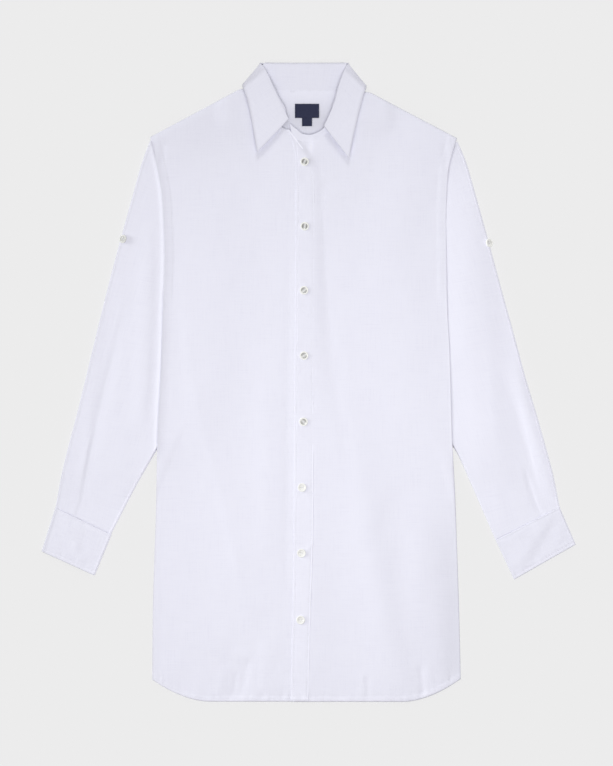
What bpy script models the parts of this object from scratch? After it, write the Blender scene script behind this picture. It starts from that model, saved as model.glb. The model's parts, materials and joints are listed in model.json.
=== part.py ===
"""A long linen shirt laid flat with its front up, as the pieces that a maker sews.

Each piece is a wall of cloth over the one below it: sleeves and turned collar on
the surface, then the back, the two fronts, the placket band and the buttons.
Lengths are in millimetres until a mesh is made. X runs across from the centre line
(the wearer's right is -X), H is the height above the hem, and Z is up.
"""

import math
from collections import namedtuple

import bmesh
import bpy
from mathutils import Matrix, Vector

MM = 0.001
HALF_LENGTH = 463.0

# Cloth and the gaps between its layers
WALL = 1.2
STIFF_WALL = 1.6
LAYER_GAP = 0.4
SEAM_GAP = 0.4
PUFF = 1.6
LEAST_PUFF = 0.2
EDGE_ROLL = 14.0
HEM_ROLL = 40.0

# The lapping front climbs to the placket's level; the front below passes under it
LAP_CLIMB = 26.0
UNDERLAP_INSET = 3.0
UNDERLAP_TOP = 800.0

# Hem: level in the middle, with its side corners turned up
HEM_LEVEL_HALF = 138.0
HEM_CORNER_RISE = 34.0
HEM_CORNER_REACH = 86.0
HEM_CURVE = 1.8

# The shoulder's last stretch, hidden by the collar, dips to the neck
NECK_DIP = 9.0
NECK_DIP_REACH = 28.0

# Sleeves: a flattened tube, its tuck under the body, and the air in it
TUBE_GAP = 0.5
SLEEVE_FLAT = 2 * WALL + TUBE_GAP
SLEEVE_PUFF = 2.2
PUFF_START = 5.0
PUFF_REACH = 16.0
SLEEVE_STATIONS = 24
TUCK_LIFT = SLEEVE_FLAT + 0.3
TUCK_MARGIN = 18.0
TUCK_RAMP = 30.0
PAST_THE_SLEEVES = 400.0
CUFF_FLAT = 2 * STIFF_WALL + TUBE_GAP
CUFF_CROWN = 1.0

# Collar: the back of its fall lies under the back panel
COLLAR_LIFT = STIFF_WALL + 0.7
COLLAR_LIFT_LOW = 812.0
COLLAR_LIFT_HIGH = 850.0
COLLAR_LIFT_HALF = 112.0
COLLAR_LIFT_FADE = 26.0
COLLAR_STATIONS = 49

# The stand is sewn to the back within these bounds and to the fronts beyond them
BACK_SEAM_TOP = 893.0
BACK_SEAM_HALF = 56.0
BACK_SEAM_LOW = 880.0

BUTTON_RADIUS = 6.0
BUTTON_GAP = 0.35
BUTTON_STEPS = 14
TAB_BUTTON_RADIUS = 6.2
TAB_BUTTON_TILT = math.radians(36.0)

BodyRow = namedtuple("BodyRow", "height right left")
BODY_SIDES = [
    BodyRow(0, 223.0, 225.0),
    BodyRow(128, 222.0, 222.0),
    BodyRow(276, 217.5, 217.0),
    BodyRow(388, 215.0, 211.5),
    BodyRow(500, 209.0, 208.5),
    BodyRow(582, 207.0, 204.5),
    BodyRow(647, 205.0, 203.5),
    BodyRow(700, 206.5, 203.0),
    BodyRow(735, 209.0, 204.0),
    BodyRow(770, 215.0, 206.5),
    BodyRow(818, 226.0, 219.0),
]

Shoulder = namedtuple("Shoulder", "neck_x neck_height tip_x tip_height")
SHOULDERS = {"right": Shoulder(72.5, 902, 226, 820), "left": Shoulder(68.5, 897, 219, 818)}

# Neck edges, from the shoulder to the centre, measured towards the wearer's side
NeckPoint = namedtuple("NeckPoint", "x height")
FRONT_NECK = {
    "right": [
        NeckPoint(72.5, 893),
        NeckPoint(69, 883),
        NeckPoint(62, 866),
        NeckPoint(51, 846),
        NeckPoint(40, 836),
        NeckPoint(27, 829),
        NeckPoint(0, 822),
    ],
    "left": [
        NeckPoint(68.5, 888),
        NeckPoint(66, 876),
        NeckPoint(61.5, 862),
        NeckPoint(53.5, 843),
        NeckPoint(40, 828),
        NeckPoint(29, 819),
        NeckPoint(17.5, 810),
        NeckPoint(4.5, 805),
        NeckPoint(-8.5, 807),
        NeckPoint(-20, 812),
    ],
}
BACK_NECK = [
    NeckPoint(-72.5, 893),
    NeckPoint(-55, 888.5),
    NeckPoint(-25, 887),
    NeckPoint(-2, 886.5),
    NeckPoint(22, 886.5),
    NeckPoint(50, 887),
    NeckPoint(68.5, 888),
]

PlacketRow = namedtuple("PlacketRow", "height outer inner")
PLACKET_EDGES = [
    PlacketRow(0, -21.8, 3.4),
    PlacketRow(100, -20.0, 5.2),
    PlacketRow(160, -18.8, 6.6),
    PlacketRow(215, -18.0, 8.4),
    PlacketRow(320, -17.4, 9.4),
    PlacketRow(500, -16.2, 10.2),
    PlacketRow(700, -14.8, 12.6),
    PlacketRow(745, -14.6, 12.6),
    PlacketRow(768, -14.6, 10.4),
    PlacketRow(784, -14.8, 6.4),
    PlacketRow(797, -16.0, -1.0),
    PlacketRow(812, -20.0, -12.0),
    PlacketRow(829, -28.4, -24.2),
]
BUTTON_SPOTS = [
    NeckPoint(-2.0, 782.3),
    NeckPoint(-1.9, 688.8),
    NeckPoint(-2.9, 596.0),
    NeckPoint(-2.9, 501.4),
    NeckPoint(-3.6, 405.6),
    NeckPoint(-5.8, 310.4),
    NeckPoint(-6.7, 215.3),
    NeckPoint(-7.8, 118.6),
]
TabSpot = namedtuple("TabSpot", "x height z turn")
TAB_SPOTS = {"right": TabSpot(-264.2, 670, 6.1, 165.0), "left": TabSpot(264.6, 664.5, 6.1, 15.0)}

# A soft fold is a ridge (rise above 0) or a trough along a line
Fold = namedtuple("Fold", "x_top height_top x_low height_low rise width")
BODY_FOLDS = [
    Fold(-186, 520, -128, 250, 1.5, 17),
    Fold(-128, 250, -104, 60, 1.2, 15),
    Fold(-196, 470, -150, 220, -1.0, 20),
    Fold(-64, 410, -52, 200, 0.7, 16),
    Fold(-28, 560, -30, 190, -0.7, 10),
    Fold(23, 735, 31, 430, -1.2, 11),
    Fold(38, 640, 76, 340, 1.3, 15),
    Fold(76, 340, 128, 40, 1.4, 17),
    Fold(120, 300, 150, 120, -1.0, 22),
    Fold(160, 290, 158, 60, 0.9, 14),
    Fold(196, 340, 196, 70, -0.8, 18),
    Fold(-88, 70, -110, 12, 0.8, 7),
    Fold(-102, 88, -132, 22, -0.8, 8),
]

SleeveRow = namedtuple("SleeveRow", "outer_x outer_height inner_x inner_height")
SLEEVES = {
    "right": [
        SleeveRow(225.5, 813, 209, 799),
        SleeveRow(236, 785, 196, 763),
        SleeveRow(252.5, 727, 178, 705),
        SleeveRow(270.5, 662, 165, 640),
        SleeveRow(287.5, 597, 160, 575),
        SleeveRow(304, 530, 165, 510),
        SleeveRow(318, 472, 178, 452),
        SleeveRow(331.5, 417, 197, 401),
        SleeveRow(344.5, 367.5, 222, 356),
        SleeveRow(354.5, 325.5, 246, 314),
        SleeveRow(362, 283.5, 282, 245),
    ],
    "left": [
        SleeveRow(219.5, 812, 205, 799),
        SleeveRow(231, 785, 194, 763),
        SleeveRow(248, 727, 177, 705),
        SleeveRow(266, 662, 164, 640),
        SleeveRow(283.5, 597, 159.5, 575),
        SleeveRow(302, 530, 164, 510),
        SleeveRow(317.5, 472, 177, 452),
        SleeveRow(334, 417, 194, 401),
        SleeveRow(348, 367.5, 217.5, 356),
        SleeveRow(359, 325.5, 237, 314),
        SleeveRow(367, 284.5, 273.5, 237),
    ],
}
SLEEVE_FOLDS = {
    "right": [
        Fold(-232, 680, -246, 400, 1.2, 9),
        Fold(-222, 560, -222, 390, -1.0, 8),
        Fold(-268, 560, -300, 400, -0.9, 10),
        Fold(-296, 510, -338, 270, 1.2, 6),
    ],
    "left": [
        Fold(222, 740, 226, 420, 1.0, 13),
        Fold(246, 600, 262, 360, -1.3, 12),
        Fold(296, 520, 356, 280, 1.4, 8),
        Fold(290, 470, 322, 350, -1.0, 7),
    ],
}

# Cuff corners: outer and inner on the seam, then inner and outer on the free edge
CuffCorner = namedtuple("CuffCorner", "x height")
CUFFS = {
    "right": [
        CuffCorner(-362.5, 280.8),
        CuffCorner(-282.6, 242.2),
        CuffCorner(-307, 183.4),
        CuffCorner(-382.4, 217.8),
    ],
    "left": [
        CuffCorner(367.6, 282),
        CuffCorner(274.8, 234.2),
        CuffCorner(301.6, 176.9),
        CuffCorner(391, 227.7),
    ],
}

# Collar stations, from the wearer's right front round the back to the left front.
# fold is the roll line, edge the fall's free edge, and side says whether the fall
# lies over the shirt (1) or under it (0) there.
CollarRow = namedtuple("CollarRow", "fold_x fold_height fold_z edge_x edge_height edge_z side")
COLLAR = [
    CollarRow(-23.8, 841.7, 10.0, -70.8, 797.9, 9.6, 1),
    CollarRow(-31.9, 857.8, 11.5, -76.1, 827.2, 8.8, 1),
    CollarRow(-40.6, 874.3, 12.6, -80.8, 852.6, 8.6, 1),
    CollarRow(-50.6, 896.1, 13.4, -85.6, 873.0, 8.6, 1),
    CollarRow(-57.7, 911.5, 13.4, -90.2, 889.5, 8.4, 1),
    CollarRow(-60.6, 918.0, 12.2, -93.0, 895.4, 4.6, 0.65),
    CollarRow(-61.4, 921.0, 11.2, -92.4, 892.8, 1.3, 0.15),
    CollarRow(-61.5, 922.5, 10.0, -87.0, 884.5, 0.9, 0),
    CollarRow(-55.0, 924.2, 8.0, -66.0, 872.0, 0.9, 0),
    CollarRow(-30.5, 924.4, 6.6, -33.4, 869.3, 0.9, 0),
    CollarRow(-2.0, 924.4, 6.2, -2.0, 867.8, 0.9, 0),
    CollarRow(27.0, 924.4, 6.6, 29.0, 868.6, 0.9, 0),
    CollarRow(51.5, 924.2, 8.0, 60.5, 871.0, 0.9, 0),
    CollarRow(57.9, 922.5, 10.0, 82.4, 880.5, 0.9, 0),
    CollarRow(57.8, 921.0, 11.2, 88.2, 889.4, 1.3, 0.15),
    CollarRow(57.0, 917.5, 12.2, 88.8, 891.6, 4.6, 0.65),
    CollarRow(54.6, 910.5, 13.4, 85.8, 886.0, 8.4, 1),
    CollarRow(48.3, 892.5, 13.4, 79.2, 864.0, 8.6, 1),
    CollarRow(42.8, 870.7, 12.6, 73.5, 840.3, 8.6, 1),
    CollarRow(36.3, 854.4, 11.4, 67.6, 814.2, 8.8, 1),
    CollarRow(26.1, 833.0, 9.8, 61.9, 788.8, 9.6, 1),
]

# Stand stations: the neck seam and the roll line
StandRow = namedtuple("StandRow", "neck_x neck_height fold_x fold_height fold_z")
STAND = [
    StandRow(-28.5, 830.5, -24.8, 839.6, 8.3),
    StandRow(-50.0, 847.0, -33.2, 856.6, 9.6),
    StandRow(-60.6, 867.0, -42.2, 873.2, 10.6),
    StandRow(-67.0, 883.5, -52.4, 894.0, 11.4),
    StandRow(-69.5, 893.0, -58.8, 908.0, 11.4),
    StandRow(-64.0, 892.0, -60.0, 916.0, 9.4),
    StandRow(-55.0, 888.5, -54.0, 920.6, 7.2),
    StandRow(-25.0, 886.5, -30.0, 922.2, 5.8),
    StandRow(-2.0, 886.0, -2.0, 922.4, 5.4),
    StandRow(22.0, 886.5, 26.6, 922.2, 5.8),
    StandRow(50.0, 886.5, 50.5, 920.6, 7.2),
    StandRow(60.0, 888.0, 56.4, 916.0, 9.4),
    StandRow(65.6, 888.0, 55.4, 907.0, 11.4),
    StandRow(64.5, 876.5, 50.0, 890.0, 11.4),
    StandRow(60.0, 861.0, 44.4, 869.4, 10.6),
    StandRow(52.0, 843.5, 38.0, 853.0, 9.6),
    StandRow(38.5, 829.0, 27.4, 832.6, 8.2),
    StandRow(28.0, 820.5, 17.6, 825.0, 7.4),
    StandRow(15.5, 811.5, 4.6, 821.0, 7.0),
    StandRow(1.0, 807.6, -6.0, 821.5, 6.8),
]

LABEL_CENTRE = NeckPoint(1.5, 857.0)
LABEL_SIZE = (35.0, 19.0)
TAG_CENTRE = NeckPoint(1.5, 840.0)
TAG_SIZE = (14.5, 12.0)
LABEL_WALL = 1.0
LABEL_GAP = 0.5

FRONT_COLUMNS = [0, 0.022, 0.055, 0.10, 0.16, 0.235, 0.32, 0.41, 0.51, 0.61, 0.70, 0.78, 0.86, 0.93, 1]
BODY_ROWS = [0, 0.015, 0.045, 0.09, 0.14, 0.19, 0.24, 0.29, 0.34, 0.39, 0.44, 0.49, 0.54, 0.59]
BODY_ROWS += [0.64, 0.69, 0.74, 0.79, 0.835, 0.875, 0.91, 0.94, 0.965, 0.985, 1]


def slopes_of(xs, ys):
    """Tangents for a smooth curve through points that never overshoots them."""
    steps = [(ys[i + 1] - ys[i]) / (xs[i + 1] - xs[i]) for i in range(len(xs) - 1)]
    slopes = [steps[0]]
    for before, after in zip(steps, steps[1:]):
        slopes.append(0.0 if before * after <= 0 else 2 * before * after / (before + after))
    return slopes + [steps[-1]]


def curve(xs, ys):
    """A smooth function through the points, straight beyond both ends."""
    if xs[0] > xs[-1]:
        xs, ys = xs[::-1], ys[::-1]
    slopes = slopes_of(xs, ys)

    def value(x):
        if x <= xs[0]:
            return ys[0] + slopes[0] * (x - xs[0])
        if x >= xs[-1]:
            return ys[-1] + slopes[-1] * (x - xs[-1])
        i = max(k for k in range(len(xs) - 1) if xs[k] <= x)
        span = xs[i + 1] - xs[i]
        t = (x - xs[i]) / span
        return (
            ys[i] * (1 + 2 * t) * (1 - t) ** 2
            + ys[i + 1] * t * t * (3 - 2 * t)
            + span * (slopes[i] * t * (1 - t) ** 2 - slopes[i + 1] * t * t * (1 - t))
        )

    return value


def table_curve(rows, by, field):
    return curve([getattr(row, by) for row in rows], [getattr(row, field) for row in rows])


def row_curves(rows, count):
    """Each field of a table as a smooth list of count values along its rows."""
    stations = [i / (len(rows) - 1) for i in range(len(rows))]
    curves = {f: curve(stations, [getattr(r, f) for r in rows]) for f in rows[0]._fields}
    return [
        type(rows[0])(**{f: c(i / (count - 1)) for f, c in curves.items()}) for i in range(count)
    ]


def smooth_step(t):
    t = min(max(t, 0.0), 1.0)
    return t * t * (3 - 2 * t)


def rounded(t):
    """Rises from 0 to 1 like the quarter of an ellipse."""
    return math.sqrt(1 - (1 - min(max(t, 0.0), 1.0)) ** 2)


def mix(a, b, t):
    return a + (b - a) * t


SIDE_OF = {"right": table_curve(BODY_SIDES, "height", "right"),
           "left": table_curve(BODY_SIDES, "height", "left")}
NECK_OF = {name: table_curve(rows, "x", "height") for name, rows in FRONT_NECK.items()}
BACK_NECK_HEIGHT = table_curve(BACK_NECK, "x", "height")
PLACKET_OUTER = table_curve(PLACKET_EDGES, "height", "outer")
PLACKET_INNER = table_curve(PLACKET_EDGES, "height", "inner")
TUCK_OF = {name: table_curve(rows, "inner_height", "inner_x") for name, rows in SLEEVES.items()}


def side_name(x):
    return "right" if x < 0 else "left"


def body_side(name, height):
    return SIDE_OF[name](min(height, BODY_SIDES[-1].height))


def hem_height(x):
    reach = max(abs(x) - HEM_LEVEL_HALF, 0.0) / HEM_CORNER_REACH
    return HEM_CORNER_RISE * reach**HEM_CURVE


def shoulder_height(name, across):
    s = SHOULDERS[name]
    slope = (s.tip_height - s.neck_height) / (s.tip_x - s.neck_x)
    dip = NECK_DIP * smooth_step((s.neck_x + NECK_DIP_REACH - across) / NECK_DIP_REACH)
    return s.neck_height + slope * (across - s.neck_x) - dip


def front_top(name, across):
    """Height of a front's upper edge, at a distance from the centre to its own side."""
    if across >= SHOULDERS[name].neck_x:
        return shoulder_height(name, across)
    return NECK_OF[name](across)


def back_top(x):
    name = side_name(x)
    if abs(x) >= SHOULDERS[name].neck_x:
        return shoulder_height(name, abs(x))
    return BACK_NECK_HEIGHT(x)


def fold_rise(folds, x, height):
    """Sum of the soft folds at a place, each dying away past its ends."""
    total = 0.0
    for fold in folds:
        run_x, run_h = fold.x_low - fold.x_top, fold.height_low - fold.height_top
        length = math.hypot(run_x, run_h)
        along = ((x - fold.x_top) * run_x + (height - fold.height_top) * run_h) / length
        across = ((x - fold.x_top) * run_h - (height - fold.height_top) * run_x) / length
        past = max(-along, along - length, 0.0)
        fade = smooth_step(min(along + fold.width, length + fold.width - along) / (0.45 * length))
        if past < 2 * fold.width and fade > 0:
            total += fold.rise * fade * math.exp(-((across / fold.width) ** 2))
    return total


def back_lift(x, height):
    """How far the back's underside is held off the surface."""
    name = side_name(x)
    beside_sleeve = height > SLEEVES[name][-1].inner_height
    tuck = TUCK_OF[name](height) if beside_sleeve else PAST_THE_SLEEVES
    over_sleeve = smooth_step((abs(x) - tuck + TUCK_MARGIN + TUCK_RAMP) / TUCK_RAMP)
    up = smooth_step((height - COLLAR_LIFT_LOW) / (COLLAR_LIFT_HIGH - COLLAR_LIFT_LOW))
    near = smooth_step((COLLAR_LIFT_HALF + COLLAR_LIFT_FADE - abs(x)) / COLLAR_LIFT_FADE)
    return max(TUCK_LIFT * over_sleeve, COLLAR_LIFT * up * near)


def edge_roll(x, height):
    """0 on the body's outer edges, 1 away from them."""
    name = side_name(x)
    s = SHOULDERS[name]
    pitch = math.atan2(s.neck_height - s.tip_height, s.tip_x - s.neck_x)
    from_side = body_side(name, height) - abs(x)
    from_shoulder = (shoulder_height(name, abs(x)) - height) * math.cos(pitch)
    from_hem = height - hem_height(x)
    hem = 0.3 + 0.7 * rounded(from_hem / HEM_ROLL)
    return rounded(from_side / EDGE_ROLL) * rounded(from_shoulder / EDGE_ROLL) * hem


def front_under(x, height):
    """Underside of the lower front, which follows the back with some air between."""
    air = PUFF + fold_rise(BODY_FOLDS, x, height)
    return back_lift(x, height) + WALL + LAYER_GAP + max(air, LEAST_PUFF) * edge_roll(x, height)


def placket_under(x, height):
    return front_under(x, height) + WALL + LAYER_GAP


def over_front_under(x, height):
    """The lapping front climbs to the placket's level along its centre edge."""
    near = smooth_step(1 - (PLACKET_OUTER(height) - x) / LAP_CLIMB)
    return front_under(x, height) + (WALL + LAYER_GAP) * near


def new_material(name, colour, roughness):
    material = bpy.data.materials.new(name)
    material.use_nodes = True
    shader = material.node_tree.nodes["Principled BSDF"]
    shader.inputs["Base Color"].default_value = (*colour, 1)
    shader.inputs["Roughness"].default_value = roughness
    shader.inputs["Metallic"].default_value = 0.0
    return material


def to_world(point):
    return Vector((point[0], point[1] - HALF_LENGTH, point[2])) * MM


def add_object(name, mesh, material):
    obj = bpy.data.objects.new(name, mesh)
    obj.data.materials.append(material)
    SHIRT.objects.link(obj)
    mesh.shade_smooth()
    return obj


def add_sheet(name, rows, wall, offset, material, ring=False):
    """A grid of points as a wall of cloth; offset 1 adds the wall above, -1 inside, 0 both."""
    bm = bmesh.new()
    grid = [[bm.verts.new(to_world(p)) for p in row] for row in rows]
    across = len(rows[0]) if ring else len(rows[0]) - 1
    for upper, lower in zip(grid, grid[1:]):
        for c in range(across):
            d = (c + 1) % len(upper)
            bm.faces.new((upper[c], upper[d], lower[d], lower[c]))
    bm.normal_update()
    probe = bm.faces[:][across // 4] if ring else max(bm.faces, key=lambda f: abs(f.normal.z))
    if probe.normal.z < 0:
        bmesh.ops.reverse_faces(bm, faces=bm.faces[:])
    mesh = bpy.data.meshes.new(name)
    bm.to_mesh(mesh)
    bm.free()
    obj = add_object(name, mesh, material)
    solidify = obj.modifiers.new("Wall", "SOLIDIFY")
    solidify.thickness = wall * MM
    solidify.offset = offset
    solidify.use_even_offset = offset != 0
    return obj


def top_of_column(top, side, centre, u):
    """Height where a column meets the panel's upper edge, found by halving."""
    low, high = 700.0, 905.0
    for _ in range(40):
        height = (low + high) / 2
        x = mix(side(height), centre(height), u)
        low, high = (height, high) if height < top(x) else (low, height)
    return (low + high) / 2


def body_grid(side, centre, top, under, columns):
    """Rows of points on a body panel, from the hem up to the panel's own top edge."""
    tops = [top_of_column(top, side, centre, u) for u in columns]
    hems = [hem_height(mix(side(10.0), centre(10.0), u)) for u in columns]
    rows = []
    for v in BODY_ROWS:
        heights = [mix(low, high, v) for low, high in zip(hems, tops)]
        places = [(mix(side(h), centre(h), u), h) for u, h in zip(columns, heights)]
        rows.append([(x, h, under(x, h)) for x, h in places])
    return rows


def right_side(height):
    return -body_side("right", height)


def left_side(height):
    return body_side("left", height)


def right_centre(height):
    return PLACKET_OUTER(min(height, PLACKET_EDGES[-1].height)) - SEAM_GAP


def left_centre(height):
    return PLACKET_OUTER(min(height, UNDERLAP_TOP)) + UNDERLAP_INSET


def make_body(linen):
    right = body_grid(
        right_side, right_centre, lambda x: front_top("right", -x), over_front_under, FRONT_COLUMNS
    )
    left = body_grid(
        left_side, left_centre, lambda x: front_top("left", x), front_under, FRONT_COLUMNS
    )
    add_sheet("front_right", right, WALL, 1, linen)
    add_sheet("front_left", left, WALL, 1, linen)
    back_right = body_grid(right_side, right_centre, back_top, back_lift, FRONT_COLUMNS)
    back_left = body_grid(left_side, left_centre, back_top, back_lift, FRONT_COLUMNS)
    back = [a + b[::-1] for a, b in zip(back_right, back_left)]
    add_sheet("back", back, WALL, 1, linen)


def make_placket(linen):
    top = PLACKET_EDGES[-1].height
    rows = []
    for v in BODY_ROWS:
        height = v * top
        edges = PLACKET_OUTER(height), PLACKET_INNER(height)
        places = [mix(*edges, t) for t in (0, 0.33, 0.67, 1)]
        rows.append([(x, height, placket_under(x, height)) for x in places])
    add_sheet("placket", rows, STIFF_WALL, 1, linen)


def tube_loop(outer, inner, flat, rise):
    """One closed section of a flattened tube, flat below, from its two fold edges."""
    width = math.hypot(inner[0] - outer[0], inner[1] - outer[1])
    radius = flat / 2
    turn = [math.radians(a) for a in (54, 18, -18, -54)]

    def place(t, z):
        return (mix(outer[0], inner[0], t), mix(outer[1], inner[1], t), z)

    across = [0, 0.03, 0.08, 0.15, 0.25, 0.37, 0.5, 0.63, 0.75, 0.85, 0.92, 0.97, 1]
    crown = [mix(radius / width, 1 - radius / width, t) for t in across]
    loop = [place(t, flat + rise(*place(t, 0)[:2])) for t in crown]
    loop += [place(1 - (1 - math.cos(a)) * radius / width, radius * (1 + math.sin(a))) for a in turn]
    base = [mix(radius / width, 1 - radius / width, t) for t in (1, 0.75, 0.5, 0.25, 0)]
    loop += [place(t, 0.0) for t in base]
    loop += [place((1 - math.cos(a)) * radius / width, radius * (1 + math.sin(a))) for a in turn[::-1]]
    return loop


def sleeve_rise(name, outer, inner, fullness):
    """Height of the air in a sleeve: none under the body or on its fold edges."""
    sign = -1 if name == "right" else 1
    width = math.hypot(inner[0] - outer[0], inner[1] - outer[1])

    def rise(x, height):
        from_outer = math.hypot(x - outer[0], height - outer[1])
        roll = rounded(from_outer / EDGE_ROLL) * rounded((width - from_outer) / EDGE_ROLL)
        clear = sign * x - body_side(name, height) - PUFF_START
        free = smooth_step(clear / PUFF_REACH)
        air = SLEEVE_PUFF + fold_rise(SLEEVE_FOLDS[name], x, height)
        return max(air, 0.1) * roll * free * fullness

    return rise


def make_sleeve(name, linen):
    sign = -1 if name == "right" else 1
    loops = []
    for i, row in enumerate(row_curves(SLEEVES[name], SLEEVE_STATIONS)):
        outer = (sign * row.outer_x, row.outer_height)
        inner = (sign * row.inner_x, row.inner_height)
        fullness = 0.45 + 0.55 * smooth_step((SLEEVE_STATIONS - 1 - i) / 3)
        loops.append(tube_loop(outer, inner, SLEEVE_FLAT, sleeve_rise(name, outer, inner, fullness)))
    add_sheet("sleeve_" + name, loops, WALL, -1, linen, ring=True)


def make_cuff(name, linen):
    seam_outer, seam_inner, free_inner, free_outer = CUFFS[name]
    loops = []
    for t in (0, 0.08, 0.35, 0.65, 0.92, 1):
        outer = [mix(a, b, t) for a, b in zip(seam_outer, free_outer)]
        inner = [mix(a, b, t) for a, b in zip(seam_inner, free_inner)]
        width = math.hypot(inner[0] - outer[0], inner[1] - outer[1])

        def crown(x, height, outer=outer, width=width):
            from_outer = math.hypot(x - outer[0], height - outer[1])
            roll = rounded(from_outer / EDGE_ROLL) * rounded((width - from_outer) / EDGE_ROLL)
            return CUFF_CROWN * roll

        loops.append(tube_loop(outer, inner, CUFF_FLAT, crown))
    add_sheet("cuff_" + name, loops, STIFF_WALL, -1, linen, ring=True)


def bezier(points, t):
    a, b, c, d = (Vector(p) for p in points)
    s = 1 - t
    return a * s**3 + b * 3 * s * s * t + c * 3 * s * t * t + d * t**3


def make_collar_fall(linen):
    """The fall turns over the roll line: outwards at the front, under at the back."""
    rows = []
    for row in row_curves(COLLAR, COLLAR_STATIONS):
        fold = Vector((row.fold_x, row.fold_height, row.fold_z))
        edge = Vector((row.edge_x, row.edge_height, row.edge_z))
        out = Vector((fold.x - edge.x, fold.y - edge.y, 0)).normalized()
        first = fold + out * 2.4
        first.z = mix(0.45 * fold.z, fold.z + 0.9, row.side)
        second = fold.lerp(edge, mix(0.04, 0.35, row.side))
        second.z = mix(edge.z, fold.z + 1.2, row.side)
        rows.append([bezier((fold, first, second, edge), t) for t in (0, 0.14, 0.32, 0.55, 0.78, 1)])
    add_sheet("collar_fall", rows, STIFF_WALL, 0, linen)


def make_stand(linen):
    rows = []
    for row in row_curves(STAND, COLLAR_STATIONS):
        neck, fold = (row.neck_x, row.neck_height), (row.fold_x, row.fold_height)
        beside = abs(row.neck_x) > BACK_SEAM_HALF or row.neck_height < BACK_SEAM_LOW
        on_front = beside and row.neck_height < BACK_SEAM_TOP
        panel = (front_under if on_front else back_lift)(*neck) + WALL
        low = panel + LAYER_GAP + STIFF_WALL / 2
        rows.append(
            [
                (mix(neck[0], fold[0], t), mix(neck[1], fold[1], t), mix(low, row.fold_z, t**1.2))
                for t in (0, 0.34, 0.67, 1)
            ]
        )
    add_sheet("collar_stand", rows, STIFF_WALL, 0, linen)


def button_mesh(name, radius):
    """A turned button: rounded rim, shallow dish, flat back, down its own Z axis."""
    profile = [(0, 1.5), (0.5, 1.5), (0.72, 2.2), (0.88, 2.4), (1.0, 1.6), (0.94, 0.4), (0.8, 0), (0, 0)]
    mesh = bpy.data.meshes.new(name)
    points = [(radius * r * MM, 0, z * MM) for r, z in profile]
    mesh.from_pydata(points, [(i, i + 1) for i in range(len(points) - 1)], [])
    return mesh


def add_button(name, mesh, place, tilt, material):
    obj = add_object(name, mesh, material)
    screw = obj.modifiers.new("Turn", "SCREW")
    screw.steps = BUTTON_STEPS
    screw.render_steps = BUTTON_STEPS
    screw.use_merge_vertices = True
    screw.merge_threshold = 0.00001
    obj.matrix_world = Matrix.Translation(to_world(place)) @ tilt
    return obj


def make_buttons(shell):
    mesh = button_mesh("button", BUTTON_RADIUS)
    for i, spot in enumerate(BUTTON_SPOTS, 1):
        seat = placket_under(spot.x, spot.height) + STIFF_WALL + BUTTON_GAP
        add_button(f"button_{i}", mesh, (spot.x, spot.height, seat), Matrix.Identity(4), shell)


def make_tab_buttons(shell):
    """Each one sits on its sleeve's outer fold, so it faces up and outwards."""
    mesh = button_mesh("tab_button", TAB_BUTTON_RADIUS)
    for name, spot in TAB_SPOTS.items():
        turn = Matrix.Rotation(math.radians(spot.turn), 4, "Z")
        tilt = turn @ Matrix.Rotation(TAB_BUTTON_TILT, 4, "Y")
        add_button("tab_button_" + name, mesh, (spot.x, spot.height, spot.z), tilt, shell)


def make_label(name, centre, size, material):
    rows = []
    for v in (0.5, -0.5):
        height = centre.height + v * size[1]
        places = [centre.x + u * size[0] for u in (-0.5, 0, 0.5)]
        rows.append([(x, height, back_lift(x, height) + WALL + LABEL_GAP) for x in places])
    add_sheet(name, rows, LABEL_WALL, 1, material)


for old in list(bpy.data.objects):
    bpy.data.objects.remove(old, do_unlink=True)
SHIRT = bpy.data.collections.new("linen_shirt")
bpy.context.scene.collection.children.link(SHIRT)
bpy.context.scene.unit_settings.system = "METRIC"

LINEN = new_material("white_linen", (0.84, 0.84, 0.89), 0.85)
SHELL = new_material("button_shell", (0.74, 0.73, 0.66), 0.3)
NAVY = new_material("navy_label", (0.016, 0.02, 0.055), 0.7)

make_body(LINEN)
make_placket(LINEN)
for wearer_side in ("right", "left"):
    make_sleeve(wearer_side, LINEN)
    make_cuff(wearer_side, LINEN)
make_collar_fall(LINEN)
make_stand(LINEN)
make_buttons(SHELL)
make_tab_buttons(SHELL)
make_label("neck_label", LABEL_CENTRE, LABEL_SIZE, NAVY)
make_label("size_tag", TAG_CENTRE, TAG_SIZE, NAVY)
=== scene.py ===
"""The look of a long linen shirt laid flat with its front up.

Every piece of cloth is a fine shell on the form of its solid, with the shirt's own
creases, seams and puckers laid into it. Lengths are millimetres until a mesh is
made: X runs across from the centre line (the wearer's right is -X), H is the height
above the hem, and Z is up from the floor.
"""

import json
import math
from collections import namedtuple

import bpy
import numpy as np
from mathutils import Matrix, Vector

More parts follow.
